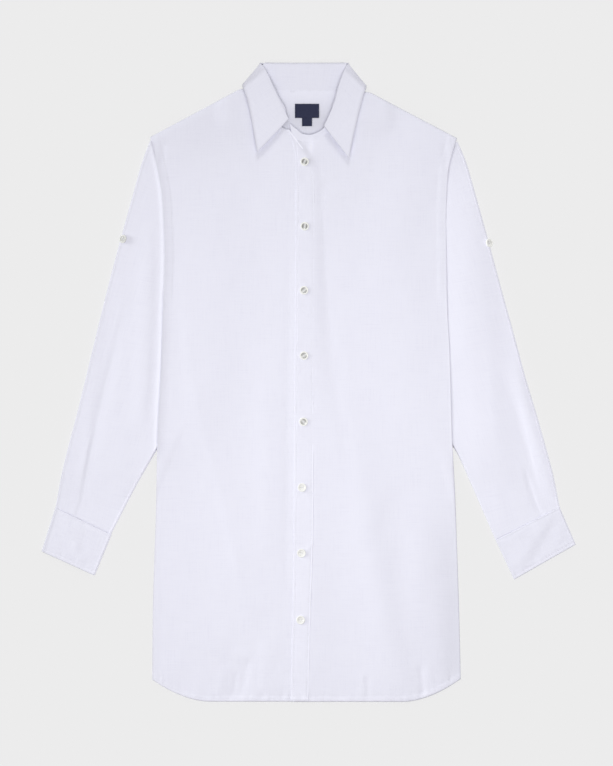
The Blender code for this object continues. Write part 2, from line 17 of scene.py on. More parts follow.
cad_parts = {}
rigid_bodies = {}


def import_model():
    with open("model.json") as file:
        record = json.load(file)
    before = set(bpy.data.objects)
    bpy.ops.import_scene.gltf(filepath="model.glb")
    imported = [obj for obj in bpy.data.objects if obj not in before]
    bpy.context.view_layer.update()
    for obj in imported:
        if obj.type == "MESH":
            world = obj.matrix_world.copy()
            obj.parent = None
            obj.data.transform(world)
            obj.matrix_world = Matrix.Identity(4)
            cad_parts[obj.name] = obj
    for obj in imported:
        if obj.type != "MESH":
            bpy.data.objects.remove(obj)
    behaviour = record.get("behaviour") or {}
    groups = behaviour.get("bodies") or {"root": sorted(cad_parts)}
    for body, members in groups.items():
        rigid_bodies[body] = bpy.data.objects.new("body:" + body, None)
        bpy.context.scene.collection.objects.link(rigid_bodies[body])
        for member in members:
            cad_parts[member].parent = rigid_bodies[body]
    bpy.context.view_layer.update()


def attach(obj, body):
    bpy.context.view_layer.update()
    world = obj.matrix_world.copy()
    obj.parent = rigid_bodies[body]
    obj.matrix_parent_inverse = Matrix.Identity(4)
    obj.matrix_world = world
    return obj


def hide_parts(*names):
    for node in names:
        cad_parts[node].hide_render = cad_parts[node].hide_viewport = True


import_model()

MM = 0.001
HALF_LENGTH = 463.0

# The photograph: 613 x 766 points of 1.45 mm, seen from straight above
PHOTO_HEIGHT = 1110.7
PHOTO_CENTRE = (0.7, 461.8)
CAMERA_HEIGHT = 4200.0
SENSOR = 24.0

# Light: the share from all round, the soft box, the low key and the floor's own
AMBIENT = 0.47
OVERHEAD = 3.0
OVERHEAD_FROM = (0.0, -0.11, 1.0)
OVERHEAD_TO = (0.0, -0.11, 0.0)
DAYLIGHT = (0.97, 1, 0.985)
KEY = 1.14
KEY_FROM = (-2.0, 0.3, 0.87)
BACK_LIGHT = 0.77
BACK_LIGHT_FROM = (0.0, 2.0, 1.25)
COLLAR_LIGHT = 0.84
FLOOR_LIGHT = 7.32
FLOOR_TONE = 0.30

# Walls of cloth, finer than the solids' and so lying a little lower
WALL = 0.8
STIFF_WALL = 1.1
LAYER_GAP = 0.3
TUBE_GAP = 0.3
CLOTH = 0.6
STIFF_CLOTH = 1.0
PLACKET_CLOTH = 0.4
SLEEVE_FLAT = 2 * WALL + TUBE_GAP
CUFF_FLAT = 2 * STIFF_WALL + TUBE_GAP

# Fronts and back: how they lie, their edges and their seams
PUFF = 1.1
LEAST_PUFF = 0.2
EDGE_ROLL = 14.0
SLEEVED_FROM = (330.0, 50.0)
TUCK_LIFT = SLEEVE_FLAT + 0.3
TUCK_MARGIN = 18.0
TUCK_RAMP = 30.0
FOLD_SHARE = 0.4
FOLD_FADE = 0.45
UNDERLAP_INSET = 3.0
UNDERLAP_TOP = 800.0
LAP_EDGE = 2.0
LAP_RUN_ON = 2.0
LAP_RUN_BELOW = (826.0, 20.0)
NECK_DIP = 9.0
NECK_DIP_REACH = 28.0
BACK_INSET = 3.0
BACK_INSET_RAMP = 20.0
BACK_INSET_TOP = 452.0
ARM_RIDGE = 1.9
ARM_RIDGE_REACH = 14.0
ARM_RIDGE_BELOW = (812.0, 40.0)
ARM_RIDGE_LEFT = 0.1
FRONT_TUCK_RAMP = 92.0
FRONT_TUCK_FROM = (250.0, 170.0)
CREASE_TOP = (0.3, 0.15)
CREASE_LOW = (0.22, 0.45)
PAST_THE_SLEEVES = 400.0
COLLAR_LIFT = STIFF_WALL + 0.7
COLLAR_LIFT_LOW = 812.0
COLLAR_LIFT_HIGH = 850.0
COLLAR_LIFT_HALF = 112.0
COLLAR_LIFT_FADE = 26.0
BACK_RUMPLE_ABOVE = (780.0, 40.0)
BACK_SHOWN = (70.0, 12.0)
BACK_SEAM_SHOWN = 60.0
BACK_SEAM_TOP = 893.0
BACK_SEAM_HALF = 56.0
BACK_SEAM_LOW = 880.0

# Hem, armholes, and the search for a panel's upper edge
TOP_RANGE = (700.0, 905.0)
HALVINGS = 40
NEAR_HEM = 10.0
HEM_ROLL = 40.0
HEM_EDGE = 0.3
HEM_LEVEL_HALF = 140.0
HEM_CORNER_RISE = 34.0
HEM_CORNER_REACH = 86.0
HEM_CURVE = 1.8
HEM_BAND = 6.4
HEM_RISE = 0.6
HEM_STEP = 0.9
HEM_LIP = (-0.42, 1.2)
HEM_SEAM = 1.2
HEM_NARROWED = 0.25
HEM_NARROW_FROM = (150.0, 60.0)
ARMHOLE_BAND = 13.0
ARMHOLE_LOW = 570.0
ARMHOLE_RAMP = 30.0
ARMHOLE_TOP = 800.0
ARMHOLE_COLUMN = 8
ARMHOLE_RISE = 0.45
ARMHOLE_STEP = 1.6
ARMHOLE_ROLL = 5.0
ARMHOLE_SEAM = 1.0
ARMHOLE_GROOVE = 0.6

# Placket: its step, seams and bends, and the dents that the buttons press into it
PLACKET_LOFT = 0.8
PLACKET_STEP = 0.6
PLACKET_LOFT_REACH = 100.0
PLACKET_LOFT_LEFT = (12.0, 45.0)
PLACKET_SEAM = 3.4
PLACKET_GROOVE = 0.7
PLACKET_LOW_RISE = 0.2
PLACKET_LOW = (460.0, 120.0)
PLACKET_EDGE_DROP = 0.15
PLACKET_EDGE_ROLL = 1.2
PLACKET_BEND = (214.0, -6.0, 0.9)
PLACKET_BEND_RISE = 0.4
PLACKET_BEND_SPREAD = 12.0
PLACKET_BEND_FROM = (0.4, 0.3)
PLACKET_SEWN = (3, 405)
PLACKET_OVER = 0.2
PLACKET_WAVE_RISE = 0.14
PLACKET_WAVE = (30.0, 60.0, 87)
FREE_EDGE_RISE = 0.35
FREE_EDGE_WAVE = (26.0, 1.0, 91)
BUTTON_DENT = 0.3
BUTTON_DENT_REACH = 8.5
BUTTON_DENT_STRETCH = 0.8

# Sleeves and cuffs, as flattened tubes
LEAST_AIR = 0.1
TUCK_LOW = 0.9
PUFF_START = {"right": -1.6, "left": -2.2}
PUFF_REACH = 1.6
TUBE_TURN = 67.0
TUBE_EDGE_POINTS = 8
TUBE_BASE_POINTS = 24
TUBE_DENSITY = 0.35
SLEEVE_PUFF = 2.9
SLEEVE_RUMPLE = 0.8
SLEEVE_SAG = -0.2
SLEEVE_END = 0.3
SLEEVE_END_SHARE = 1 / 7
SLEEVE_ROLL = 3.6
WELTS = {"right": 1.5, "left": -0.225}
WELT_REACH = 4.2
CUFF_ROLL = 5.0
CUFF_CROWN = 1.0
CUFF_DEPTH = 62.0
CUFF_END_INSET = 5.0
CUFF_SEAM_INSET = 3.0
CUFF_END_ROLL = 1.5
CUFF_DROPS = (0.5, 0.2)

# Collar and stand
STAND_REACH = 1.9
STAND_LAP = 0.09
STAND_WRAP_HALF = 62.0
STAND_WRAP = (0.5, 0.85, 1.0)
STAND_WRAP_REACH = 2.2
STAND_WRAP_STEP = 0.3
STAND_WRAP_DROP = 3.4
STAND_COVERED = (0.724, 0.036)
STAND_RISE = 0.6
STAND_LEAN = 1.2
STAND_LAP_DROP = 0.2
STAND_SEAM = 3.0
STAND_STITCHES = (((0.18, 0.724), 4.6), ((0.78, 0.9), 16.6))
FOLD_BULGE = 2.4
FOLD_BACK_SHARE = 0.45
FOLD_RISES = (0.9, 1.2)
FOLD_SHARES = (0.04, 0.35)
COLLAR_SEAM = 5.0
COLLAR_SHOWN = 0.235
COLLAR_EDGE_DROP = 0.35
COLLAR_EDGE_ROLL = 1.6
COLLAR_RIM_RISE = 0.5
COLLAR_RIM_REACH = 14.0

# Buttons, with the painted shade and painted light on the shell and on its rim
BUTTON_RADIUS = 6.3
BUTTON_PROFILE = ((0, 0.5, 0.72, 0.88, 0.97, 1.0), (1.7, 1.65, 2.15, 2.4, 2.1, 1.6))
BUTTON_UNDERSIDE = ((1.0, 1.0), (0.97, 0.5), (0.92, 0.15), (0.8, 0.0), (0.4, 0.0), (0.02, 0.0))
EYE_SIZE = (0.60, 0.24)
EYE_DEPTH = 0.55
HOLE_PLACE = 0.25
HOLE_RADIUS = 0.11
HOLE_DEPTH = 1.5
TAB_BUTTON_RADIUS = 6.2
TAB_BUTTON_TILT = math.radians(36.0)
# Painted shade and light on the tab buttons' shells, and painted light on the front buttons' rims
TAB_BUTTON_SHADING = {"right": (0.35, 0.12), "left": (-0.05, -0.3)}
BUTTON_RIM_LIGHT = -0.16

# Stitches, and the groove that they pull
STITCH_PITCH = 3.0
STITCH_LENGTH = 2.3
STITCH_RADIUS = 0.2
STITCH_LIFT = 0.12
STITCH_AIM = 0.8
STITCH_SIDES = 5
STITCH_END = (0.5, -1.1)
STITCH_RINGS = ((-0.36, 0.8, -0.2), (0, 1.0, 0.15), (0.36, 0.8, -0.2))
GROOVE = 0.28
GROOVE_WIDTH = 1.1

# Painted shading: how much painted shade darkens the cloth's colour, below 0 for painted light. A pair
# says where: a limit, and the length over which the tone comes in
# Painted shade along the fronts' turned side edges
EDGE_SHADE = 0.055
EDGE_WIDTH = (3.2, 3.0)
SHOULDER_INSET = 2.5
SHOULDER_INSET_ABOVE = (790.0, 20.0)
# Painted shade beside the right front's armhole ridge, and painted light on the left front's edge beside
# its sleeve
ARM_SHADE = 0.05
ARM_SIDE_LIGHT = -0.09
# Painted light along the hem's edge
HEM_LIGHT = 0.03
HEM_WIDTH = (2.6, 2.0)
# Painted shade at the lower left corner, and along the right front's lower side edge
CORNER_SHADE = 0.11
CORNER_BEYOND = (180.0, 44.0)
CORNER_BELOW = (300.0, 120.0)
LOW_SIDE_BELOW = (350.0, 60.0)
LOW_EDGE_SHADE = 0.07
LOW_EDGE_WIDTH = (2.6, 2.2)
LOW_SIDE_SHADE = 0.032
LOW_SIDE_WIDTH = (16.0, 14.0)
# Painted shade on the right shoulder and along both shoulder seams
SHOULDER_SHADE = 0.024
SHOULDER_ABOVE = (750.0, 70.0)
SHOULDER_BELOW_X = (-40.0, 60.0)
SEAM_SHADES = (0.09, 0.05)
SEAM_WIDTH = (2.6, 2.2)
SEAM_SLOPE = 0.88
SEAM_FROM = 74.0
LAP_TONE = 0.09
LAP_FROM = -20.0
LAP_WIDTH = (8.0, 7.0)
LAP_ABOVE = (770.0, 18.0)
LAP_LIGHT = 0.09
LAP_LIGHT_AT = (7.2, 805.0)
LAP_LIGHT_SIZE = (4.0, 12.0)
# Painted shade on the back's inside under the front of the neck, and painted light in a band higher up
NECK_SHADE = 0.13
NECK_DEEP = (876.0, 42.0)
NECK_FRONT = (820.0, 20.0)
NECK_FRONT_SHARE = 0.3
NECK_LIGHT = 0.04
NECK_LIGHT_AT = (882.0, 9.0)
# Painted highlight on the placket's turned end, and painted light on the placket and along its edges
TURNED_HIGHLIGHT = 0.12
TURNED_WIDTH = (2.6, 1.6)
TURNED_ABOVE = (770.0, 16.0)
PLACKET_LIGHT = 0.008
PLACKET_LOW_LIGHT = 0.016
PLACKET_LIGHT_BELOW = (420.0, 120.0)
PLACKET_EDGE_LIGHT = (0.012, 0.085)
PLACKET_EDGE_WIDTH = (2.4, 1.4)
PLACKET_EDGE_BELOW = (500.0, 120.0)
# Painted shade along the rim of the collar's fall
COLLAR_SHADE = 0.11
COLLAR_RIM = (2.4, 1.8)
RIM_REACH = 4.0
RIM_START = 1.15
# Painted shade and painted light along the sleeves' fold edges, painted light beside the body and on the
# right sleeve's welt
SLEEVE_RIM_SHADING = {"right": (0.12, -0.15), "left": (-0.11, 0.03)}
SLEEVE_LIGHT = {"right": 0.0, "left": 0.03}
SLEEVE_LIGHT_WITHIN = (48.0, 20.0)
SLEEVE_LIGHT_BELOW = (812.0, 60.0)
WELT_LIGHT = 0.05
WELT_LIGHT_AT = (1.5, 3.0)
WELT_LIGHT_BELOW = (800.0, 40.0)
LOW_SLEEVE_LIGHT = (-0.045, 0.0, 18.0)
LOW_SLEEVE_BELOW = (470.0, 80.0)
# Painted shade and painted light along the cuffs' fold edges
CUFF_RIM_SHADING = {"right": (0.15, -0.1), "left": (-0.04, 0.05)}

# Rumple of washed linen, broad, soft and mostly upright: rise, size of the bumps,
# how much longer than wide they are, and the seed of their draw
Rumple = namedtuple("Rumple", "rise size stretch seed")
RUMPLE_LAYERS = ((0.55, 0.31), (0.3, -0.52), (0.15, 1.02))
RUMPLE_SHRINK = 1.7
LATTICE = 64
LINEN_RUMPLE = [Rumple(0.55, 46.0, 2.4, 0), Rumple(0.16, 15.0, 1.5, 20)]
LINEN_SEEDS = {"front": 5, "right": 103, "left": 131}
BACK_RUMPLE = [Rumple(0.35, 24.0, 0.8, 71)]
PLACKET_RUMPLE = [Rumple(0.1, 9.0, 1.0, 89)]
CUFF_RUMPLE = [Rumple(0.4, 22.0, 1.0, 151), Rumple(0.15, 8.0, 1.0, 157)]
COLLAR_RUMPLE = [Rumple(0.3, 18.0, 0.8, 187), Rumple(0.12, 7.0, 1.0, 191)]
STAND_RUMPLE = [Rumple(0.2, 12.0, 1.0, 203)]
LABEL_RUMPLE = [Rumple(0.25, 9.0, 1.0, 211)]

# Gathers along a seam: rise, how far they run from it, and the seed of their draw
Gathers = namedtuple("Gathers", "rise reach seed")
GATHER_WAVES = ((0.6, 7.0, 0), (0.4, 3.6, 9))
HEM_GATHERS = Gathers(0.75, 7.0, 41)
ARMHOLE_GATHERS = Gathers(0.3, 5.0, 57)
LAP_GATHERS = Gathers(0.2, 9.0, 23)
NECK_GATHERS = Gathers(0.35, 10.0, 77)
PLACKET_GATHERS = Gathers(0.25, 4.0, 83)
CUFF_END_GATHERS = Gathers(0.3, 5.0, 163)
CUFF_SEAM_GATHERS = Gathers(0.4, 7.0, 167)
COLLAR_GATHERS = Gathers(0.3, 5.0, 181)
STAND_GATHERS = Gathers(0.28, 9.0, 201)


def table(kind, *rows):
    """A list of named rows."""
    return [kind(*row) for row in rows]


BodyRow = namedtuple("BodyRow", "height right left")
BODY_SIDES = table(
    BodyRow, (0, 223.0, 225.0), (128, 222.0, 222.0), (276, 217.5, 217.0), (388, 215.0, 211.5),
    (500, 209.0, 208.5), (582, 207.0, 204.5), (647, 205.0, 203.5), (700, 206.5, 203.0),
    (735, 209.0, 204.0), (770, 215.0, 206.5), (818, 226.0, 219.0),
)
Shoulder = namedtuple("Shoulder", "neck_x neck_height tip_x tip_height")
SHOULDERS = {"right": Shoulder(72.5, 900.5, 226, 818), "left": Shoulder(68.5, 895.5, 219, 816)}

Point = namedtuple("Point", "x height")
FRONT_NECK = {
    "right": table(
        Point, (72.5, 893), (69, 883), (62, 866), (51, 846), (40, 836), (27, 829), (0, 822),
    ),
    "left": table(
        Point, (68.5, 888), (66, 878), (61.5, 865.5), (53.5, 847), (40, 832.5), (29, 824), (17.5, 815.5),
        (4.5, 811), (-8.5, 812.5), (-20, 817),
    ),
}
BACK_NECK = table(
    Point, (-72.5, 893), (-55, 891.5), (-25, 890.5), (-2, 890), (22, 890), (50, 890), (68.5, 889),
)

PlacketRow = namedtuple("PlacketRow", "height outer inner")
PLACKET_EDGES = table(
    PlacketRow, (0, -21.8, 3.4), (100, -20.0, 6.2), (160, -18.8, 7.9), (215, -18.0, 9.8),
    (320, -17.4, 11.0), (500, -16.2, 11.4), (700, -14.8, 12.6), (745, -14.6, 12.6), (768, -14.6, 10.4),
    (784, -14.8, 6.4), (797, -16.0, -1.0), (812, -20.0, -12.0), (829, -28.4, -24.2),
)

# Front buttons: place, how the thread between the holes is turned, and the painted shade in the shell's eye
ButtonSpot = namedtuple("ButtonSpot", "x height turn tone")
BUTTON_SPOTS = table(
    ButtonSpot, (-2.0, 782.3, 62, 0.6), (-1.9, 688.8, 80, 0.6), (-2.9, 596.0, 38, 0.5),
    (-2.9, 501.4, 30, 0.5), (-3.6, 405.6, -42, 0.5), (-5.8, 310.4, 4, -0.04), (-6.7, 215.3, -14, -0.04),
    (-7.8, 118.6, 0, -0.04),
)
TabSpot = namedtuple("TabSpot", "x height z turn")
TAB_SPOTS = {"right": TabSpot(-264.2, 670, 6.1, 165.0), "left": TabSpot(264.6, 664.5, 6.1, 15.0)}

# The solids' broad folds, each along a straight line
Fold = namedtuple("Fold", "x_top height_top x_low height_low rise width")
BODY_FOLDS = table(
    Fold, (-186, 520, -128, 250, 1.5, 17), (-128, 250, -104, 60, 1.2, 15),
    (-196, 470, -150, 220, -1.0, 20), (-64, 410, -52, 200, 0.7, 16), (-28, 560, -30, 190, -0.7, 10),
    (23, 735, 31, 430, -1.2, 11), (38, 640, 76, 340, 1.3, 15), (76, 340, 128, 40, 1.4, 17),
    (120, 300, 150, 120, -1.0, 22), (160, 290, 158, 60, 0.9, 14), (196, 340, 196, 70, -0.8, 18),
    (-88, 70, -110, 12, 0.8, 7), (-102, 88, -132, 22, -0.8, 8),
)
SLEEVE_FOLDS = {
    "right": table(
        Fold, (-232, 680, -246, 400, 1.2, 9), (-222, 560, -222, 390, -1.0, 8),
        (-268, 560, -300, 400, -0.9, 10), (-296, 510, -338, 270, 1.2, 6),
    ),
    "left": table(
        Fold, (222, 740, 226, 420, 1.0, 13), (246, 600, 262, 360, -1.3, 12), (296, 520, 356, 280, 1.4, 8),
        (290, 470, 322, 350, -1.0, 7),
    ),
}

# Creases: the line of the crest from top to bottom, its rise (below 0 for a trough),
# and its width on the photograph's left and right side
Crease = namedtuple("Crease", "crest rise left right")
BODY_CREASES = table(
    Crease,
    ([(-171, 640), (-170, 588), (-167, 498), (-151, 415), (-129, 333), (-103, 224), (-88, 130)], 1.3, 12,
     40),
    ([(-208, 600), (-210, 480), (-214, 420), (-216, 340)], 1.1, 8, 26),
    ([(-58, 520), (-56, 380), (-57, 200)], 0.6, 14, 34),
    ([(-24, 700), (-25, 420), (-28, 160)], -0.45, 7, 6),
    ([(21, 760), (29, 655), (35, 568), (42, 481), (56, 394), (68, 290)], -0.9, 12, 26),
    ([(52, 450), (66, 370), (82, 290), (96, 211), (112, 125), (125, 60), (134, -10)], 2.5, 34, 27),
    ([(176, 340), (172, 260), (171, 180), (168, 70)], 0.4, 16, 22),
    ([(212, 280), (217, 150), (221, 12)], -2.0, 30, 20),
    ([(150, 660), (156, 560), (152, 460)], 0.5, 34, 22),
    ([(-96, 500), (-84, 400), (-100, 300)], -0.3, 20, 16),
    ([(-84, 66), (-90, 34), (-96, 4)], -1.3, 24, 7), ([(-62, 96), (-60, 50), (-62, 14)], 0.7, 8, 22),
    ([(-118, 56), (-124, 30), (-130, 6)], 0.7, 8, 10),
    ([(-101, 46), (-104, 20), (-107, 3)], -0.8, 3.2, 3.2), ([(89, 40), (90, 20), (91, 2)], -0.7, 3.6, 3),
    ([(82, 46), (83, 24), (84, 3)], 0.5, 4.2, 3), ([(165, 56), (168, 32), (171, 8)], -0.8, 4, 3.4),
    ([(176, 60), (180, 36), (184, 14)], 0.4, 5, 5), ([(-205, 812), (-207, 798), (-208, 776)], -0.6, 5, 5),
    ([(203, 812), (202, 796), (200, 772)], -0.6, 5, 5),
    ([(-120, 800), (-116, 700), (-120, 600)], 0.4, 26, 30),
    ([(118, 790), (124, 690), (122, 600)], 0.4, 26, 30),
)
SLEEVE_CREASES = {
    "right": table(
        Crease,
        ([(-258, 590), (-287, 470), (-309, 380), (-318, 335), (-328, 296), (-337, 266)], -0.8, 5, 13),
        ([(-280, 600), (-292, 498), (-305, 415), (-312, 372)], -0.7, 12, 12),
        ([(-226, 690), (-227, 600), (-231, 480), (-238, 410)], 1.5, 15, 8),
        ([(-262, 420), (-272, 350), (-286, 290)], 0.5, 16, 14),
        ([(-305, 412), (-314.7, 372), (-321.9, 336), (-330, 292), (-338, 268)], 0.7, 4, 2.6),
        ([(-240, 330), (-252, 300), (-262, 276)], -0.5, 8, 8),
    ),
    "left": table(
        Crease,
        ([(224, 790), (235, 727), (243, 650), (249, 568), (258, 481), (269, 394), (278, 340)], 3.4, 34, 28),
        ([(298, 500), (319, 420), (342, 348), (353, 307), (358, 285)], 2.2, 14, 11),
        ([(302, 450), (314, 400), (324, 356), (334, 316)], -0.7, 8, 4),
        ([(316, 340), (326, 308), (335, 283), (344, 268)], -1.0, 4.5, 3),
        ([(270, 320), (280, 290), (290, 260)], 0.5, 12, 12),
    ),
}
CUFF_CREASES = {
    "right": table(
        Crease, ([(-352, 262), (-334, 232), (-328, 206)], 0.8, 6, 8),
        ([(-318, 252), (-322, 230), (-336, 204)], -0.5, 8, 6),
    ),
    "left": table(
        Crease, ([(350, 262), (326, 228), (308, 196)], 0.5, 10, 8),
        ([(366, 266), (348, 236), (330, 204)], -0.5, 8, 8),
    ),
}

SleeveRow = namedtuple("SleeveRow", "outer_x outer_height inner_x inner_height")
SLEEVES = {
    "right": table(
        SleeveRow, (225.5, 813, 209, 799), (236, 785, 196, 763), (252.5, 727, 178, 705),
        (270.5, 662, 165, 640), (287.5, 597, 160, 575), (304, 530, 165, 510), (318, 472, 178, 452),
        (331.5, 417, 197, 401), (344.5, 367.5, 222, 356), (354.5, 325.5, 246, 314),
        (362, 283.5, 282, 245),
    ),
    "left": table(
        SleeveRow, (219.5, 812, 205, 799), (231, 785, 194, 763), (248, 727, 177, 705),
        (266, 662, 164, 640), (283.5, 597, 159.5, 575), (302, 530, 164, 510), (317.5, 472, 177, 452),
        (334, 417, 194, 401), (348, 367.5, 221, 356), (359, 325.5, 240, 314), (367, 284.5, 273.5, 237),
    ),
}
CUFFS = {
    "right": table(
        Point, (-362.5, 280.8), (-282.6, 242.2), (-307, 183.4), (-382.4, 217.8),
    ),
    "left": table(
        Point, (367.6, 282), (274.8, 234.2), (301.6, 176.9), (391, 227.7),
    ),
}

# How a sleeve's end goes on inside the cuff
Tuck = namedtuple("Tuck", "depth width lift")
SLEEVE_TUCKS = table(Tuck, (1.5, 1.0, 0.9), (2.5, 1.0, 0.9), (3.4, 0.975, -0.9), (6.5, 0.975, -0.9))

# Collar stations, from the wearer's right front round the back to the left front
CollarRow = namedtuple("CollarRow", "fold_x fold_height fold_z edge_x edge_height edge_z side")
COLLAR = table(
    CollarRow, (-25.6, 843.0, 10.0, -70.8, 794.9, 9.8, 1), (-32.4, 858.0, 11.5, -76.1, 826.4, 8.8, 1),
    (-40.6, 874.3, 12.6, -80.8, 852.6, 8.6, 1), (-50.6, 896.1, 13.4, -85.6, 873.0, 8.6, 1),
    (-57.7, 911.5, 13.4, -90.0, 886.2, 8.4, 1), (-61.4, 918.4, 12.2, -92.0, 892.0, 4.6, 0.65),
    (-66.4, 923.6, 11.2, -91.4, 895.0, 1.3, 0.15), (-66.8, 924.4, 10.0, -87.5, 887.5, 0.9, 0),
    (-57.5, 923.8, 8.0, -66.0, 872.0, 0.9, 0), (-30.5, 923.2, 6.6, -33.4, 869.3, 0.9, 0),
    (-2.0, 923.2, 6.2, -2.0, 867.8, 0.9, 0), (27.0, 923.2, 6.6, 29.0, 868.6, 0.9, 0),
    (53.0, 923.8, 8.0, 60.5, 871.0, 0.9, 0), (61.4, 924.4, 10.0, 83.0, 883.5, 0.9, 0),
    (61.2, 923.4, 11.2, 87.4, 892.4, 1.3, 0.15), (58.0, 917.8, 12.2, 87.2, 889.6, 4.6, 0.65),
    (54.6, 910.5, 13.4, 85.0, 884.0, 8.4, 1), (48.3, 892.5, 13.4, 79.2, 864.0, 8.6, 1),
    (42.8, 870.7, 12.6, 73.5, 840.3, 8.6, 1), (36.3, 854.4, 11.4, 67.6, 814.2, 8.8, 1),
    (26.1, 833.0, 9.8, 62.4, 786.2, 9.8, 1),
)
StandRow = namedtuple("StandRow", "neck_x neck_height fold_x fold_height fold_z")
STAND = table(
    StandRow, (-34.0, 835.0, -31.0, 841.5, 8.6), (-50.0, 847.0, -33.2, 856.6, 9.6),
    (-60.6, 867.0, -42.2, 873.2, 10.6), (-67.0, 883.5, -52.4, 894.0, 11.4),
    (-69.5, 893.0, -58.8, 908.0, 11.4), (-64.0, 892.0, -63.6, 918.6, 9.4),
    (-55.0, 888.5, -58.4, 921.6, 7.2), (-25.0, 886.5, -30.0, 921.4, 5.8), (-2.0, 886.0, -2.0, 921.4, 5.4),
    (22.0, 886.5, 26.6, 921.4, 5.8), (50.0, 886.5, 54.0, 921.6, 7.2), (60.0, 888.0, 58.8, 918.6, 9.4),
    (65.6, 888.0, 55.4, 907.0, 11.4), (64.5, 876.5, 50.0, 890.0, 11.4), (60.0, 861.0, 44.4, 869.4, 10.6),
    (52.0, 843.5, 38.0, 853.0, 9.6), (38.5, 829.0, 27.4, 832.6, 8.2), (28.0, 820.5, 17.6, 825.0, 7.4),
    (15.5, 811.5, 4.6, 821.0, 7.0), (1.0, 807.6, -4.4, 822.2, 6.8), (-10.0, 810.0, -14.0, 829.6, 6.5),
    (-19.0, 813.5, -23.8, 837.4, 6.5),
)
LABEL_CENTRE = Point(1.5, 856.0)
LABEL_SIZE = (35.0, 20.4)
TAG_CENTRE = Point(1.5, 840.4)
TAG_SIZE = (14.5, 12.8)
LABEL_LIFT = 0.75


def curve(xs, ys):
    """A smooth function through the points, straight beyond both ends."""
    xs, ys = np.array(xs, float), np.array(ys, float)
    if xs[0] > xs[-1]:
        xs, ys = xs[::-1], ys[::-1]
    steps = np.diff(ys) / np.diff(xs)
    both = steps[:-1] * steps[1:]
    total = steps[:-1] + steps[1:]
    inner = np.divide(2 * both, total, out=np.zeros_like(both), where=both > 0)
    slopes = np.concatenate([steps[:1], inner, steps[-1:]])

    def value(x):
        x = np.asarray(x, float)
        i = np.clip(np.searchsorted(xs, x, side="right") - 1, 0, len(xs) - 2)
        span = xs[i + 1] - xs[i]
        t = np.clip((x - xs[i]) / span, 0, 1)
        inside = (
            ys[i] * (1 + 2 * t) * (1 - t) ** 2
            + ys[i + 1] * t * t * (3 - 2 * t)
            + span * (slopes[i] * t * (1 - t) ** 2 - slopes[i + 1] * t * t * (1 - t))
        )
        below = slopes[0] * np.minimum(x - xs[0], 0)
        above = slopes[-1] * np.maximum(x - xs[-1], 0)
        return inside + below + above

    return value


def table_curve(rows, by, field):
    return curve([getattr(row, by) for row in rows], [getattr(row, field) for row in rows])


def row_arrays(rows, count):
    """Each field of a table as an array of count values along its rows."""
    stations = np.linspace(0, 1, len(rows))
    along = np.linspace(0, 1, count)
    fields = rows[0]._fields
    return type(rows[0])(*(curve(stations, [getattr(r, f) for r in rows])(along) for f in fields))


def smooth_step(t):
    t = np.clip(t, 0.0, 1.0)
    return t * t * (3 - 2 * t)


def beyond(value, limit, ramp):
    """0 up to the limit, and 1 from a ramp's length above it."""
    return smooth_step((value - limit) / ramp)


def within(value, limit, ramp):
    """1 up to a ramp's length below the limit, and 0 above it."""
    return smooth_step((limit - value) / ramp)


def bell(value, reach):
    """1 at 0, with a soft fall to both sides."""
    return np.exp(-((value / reach) ** 2))


def rounded(t):
    """Rises from 0 to 1 like the quarter of an ellipse."""
    return np.sqrt(1 - (1 - np.clip(t, 0.0, 1.0)) ** 2)


def mix(a, b, t):
    return a + (b - a) * t


def dense_ends(count, share):
    """Places from 0 to 1, closer together at both ends."""
    t = np.linspace(0, 1, count)
    return (1 - share) * t + share * (1 - np.cos(math.pi * t)) / 2


def ripple(x, y, size_x, size_y, seed):
    """A smooth random surface between -1 and 1, with bumps of the given sizes."""
    lattice = np.random.default_rng(seed).uniform(-1, 1, (LATTICE, LATTICE))
    u, v = np.asarray(x / size_x, float), np.asarray(y / size_y, float)
    i, j = np.floor(u).astype(int), np.floor(v).astype(int)
    s, t = smooth_step(u - i), smooth_step(v - j)

    def at(over, up):
        return lattice[(i + over) % LATTICE, (j + up) % LATTICE]

    return mix(mix(at(0, 0), at(1, 0), s), mix(at(0, 1), at(1, 1), s), t)


def rumple(rules, x, y, seed=0):
    """Layered ripples, turned against each other so that no grid shows."""
    total = np.zeros(np.broadcast(x, y).shape)
    for rule in rules:
        for k, (share, angle) in enumerate(RUMPLE_LAYERS):
            c, s = math.cos(angle), math.sin(angle)
            size = rule.size / RUMPLE_SHRINK**k
            upright = (y * c - x * s) / rule.stretch
            total += rule.rise * share * ripple(x * c + y * s, upright, size, size, rule.seed + seed + k)
    return total


SIDE_OF = {name: table_curve(BODY_SIDES, "height", name) for name in ("right", "left")}
NECK_OF = {name: table_curve(rows, "x", "height") for name, rows in FRONT_NECK.items()}
BACK_NECK_HEIGHT = table_curve(BACK_NECK, "x", "height")
PLACKET_OUTER = table_curve(PLACKET_EDGES, "height", "outer")
PLACKET_INNER = table_curve(PLACKET_EDGES, "height", "inner")
DIP_LINE = curve([p[1] for p in BODY_CREASES[4].crest], [p[0] for p in BODY_CREASES[4].crest])
TUCK_OF = {name: table_curve(rows, "inner_height", "inner_x") for name, rows in SLEEVES.items()}


def by_side(x, function, *rest):
    """A function of the side's name, worked out for both sides and chosen by X."""
    return np.where(x < 0, function("right", *rest), function("left", *rest))


def body_side(name, height):
    return SIDE_OF[name](np.minimum(height, BODY_SIDES[-1].height))


def hem_height(x):
    reach = np.maximum(np.abs(x) - HEM_LEVEL_HALF, 0.0) / HEM_CORNER_REACH
    return HEM_CORNER_RISE * reach**HEM_CURVE


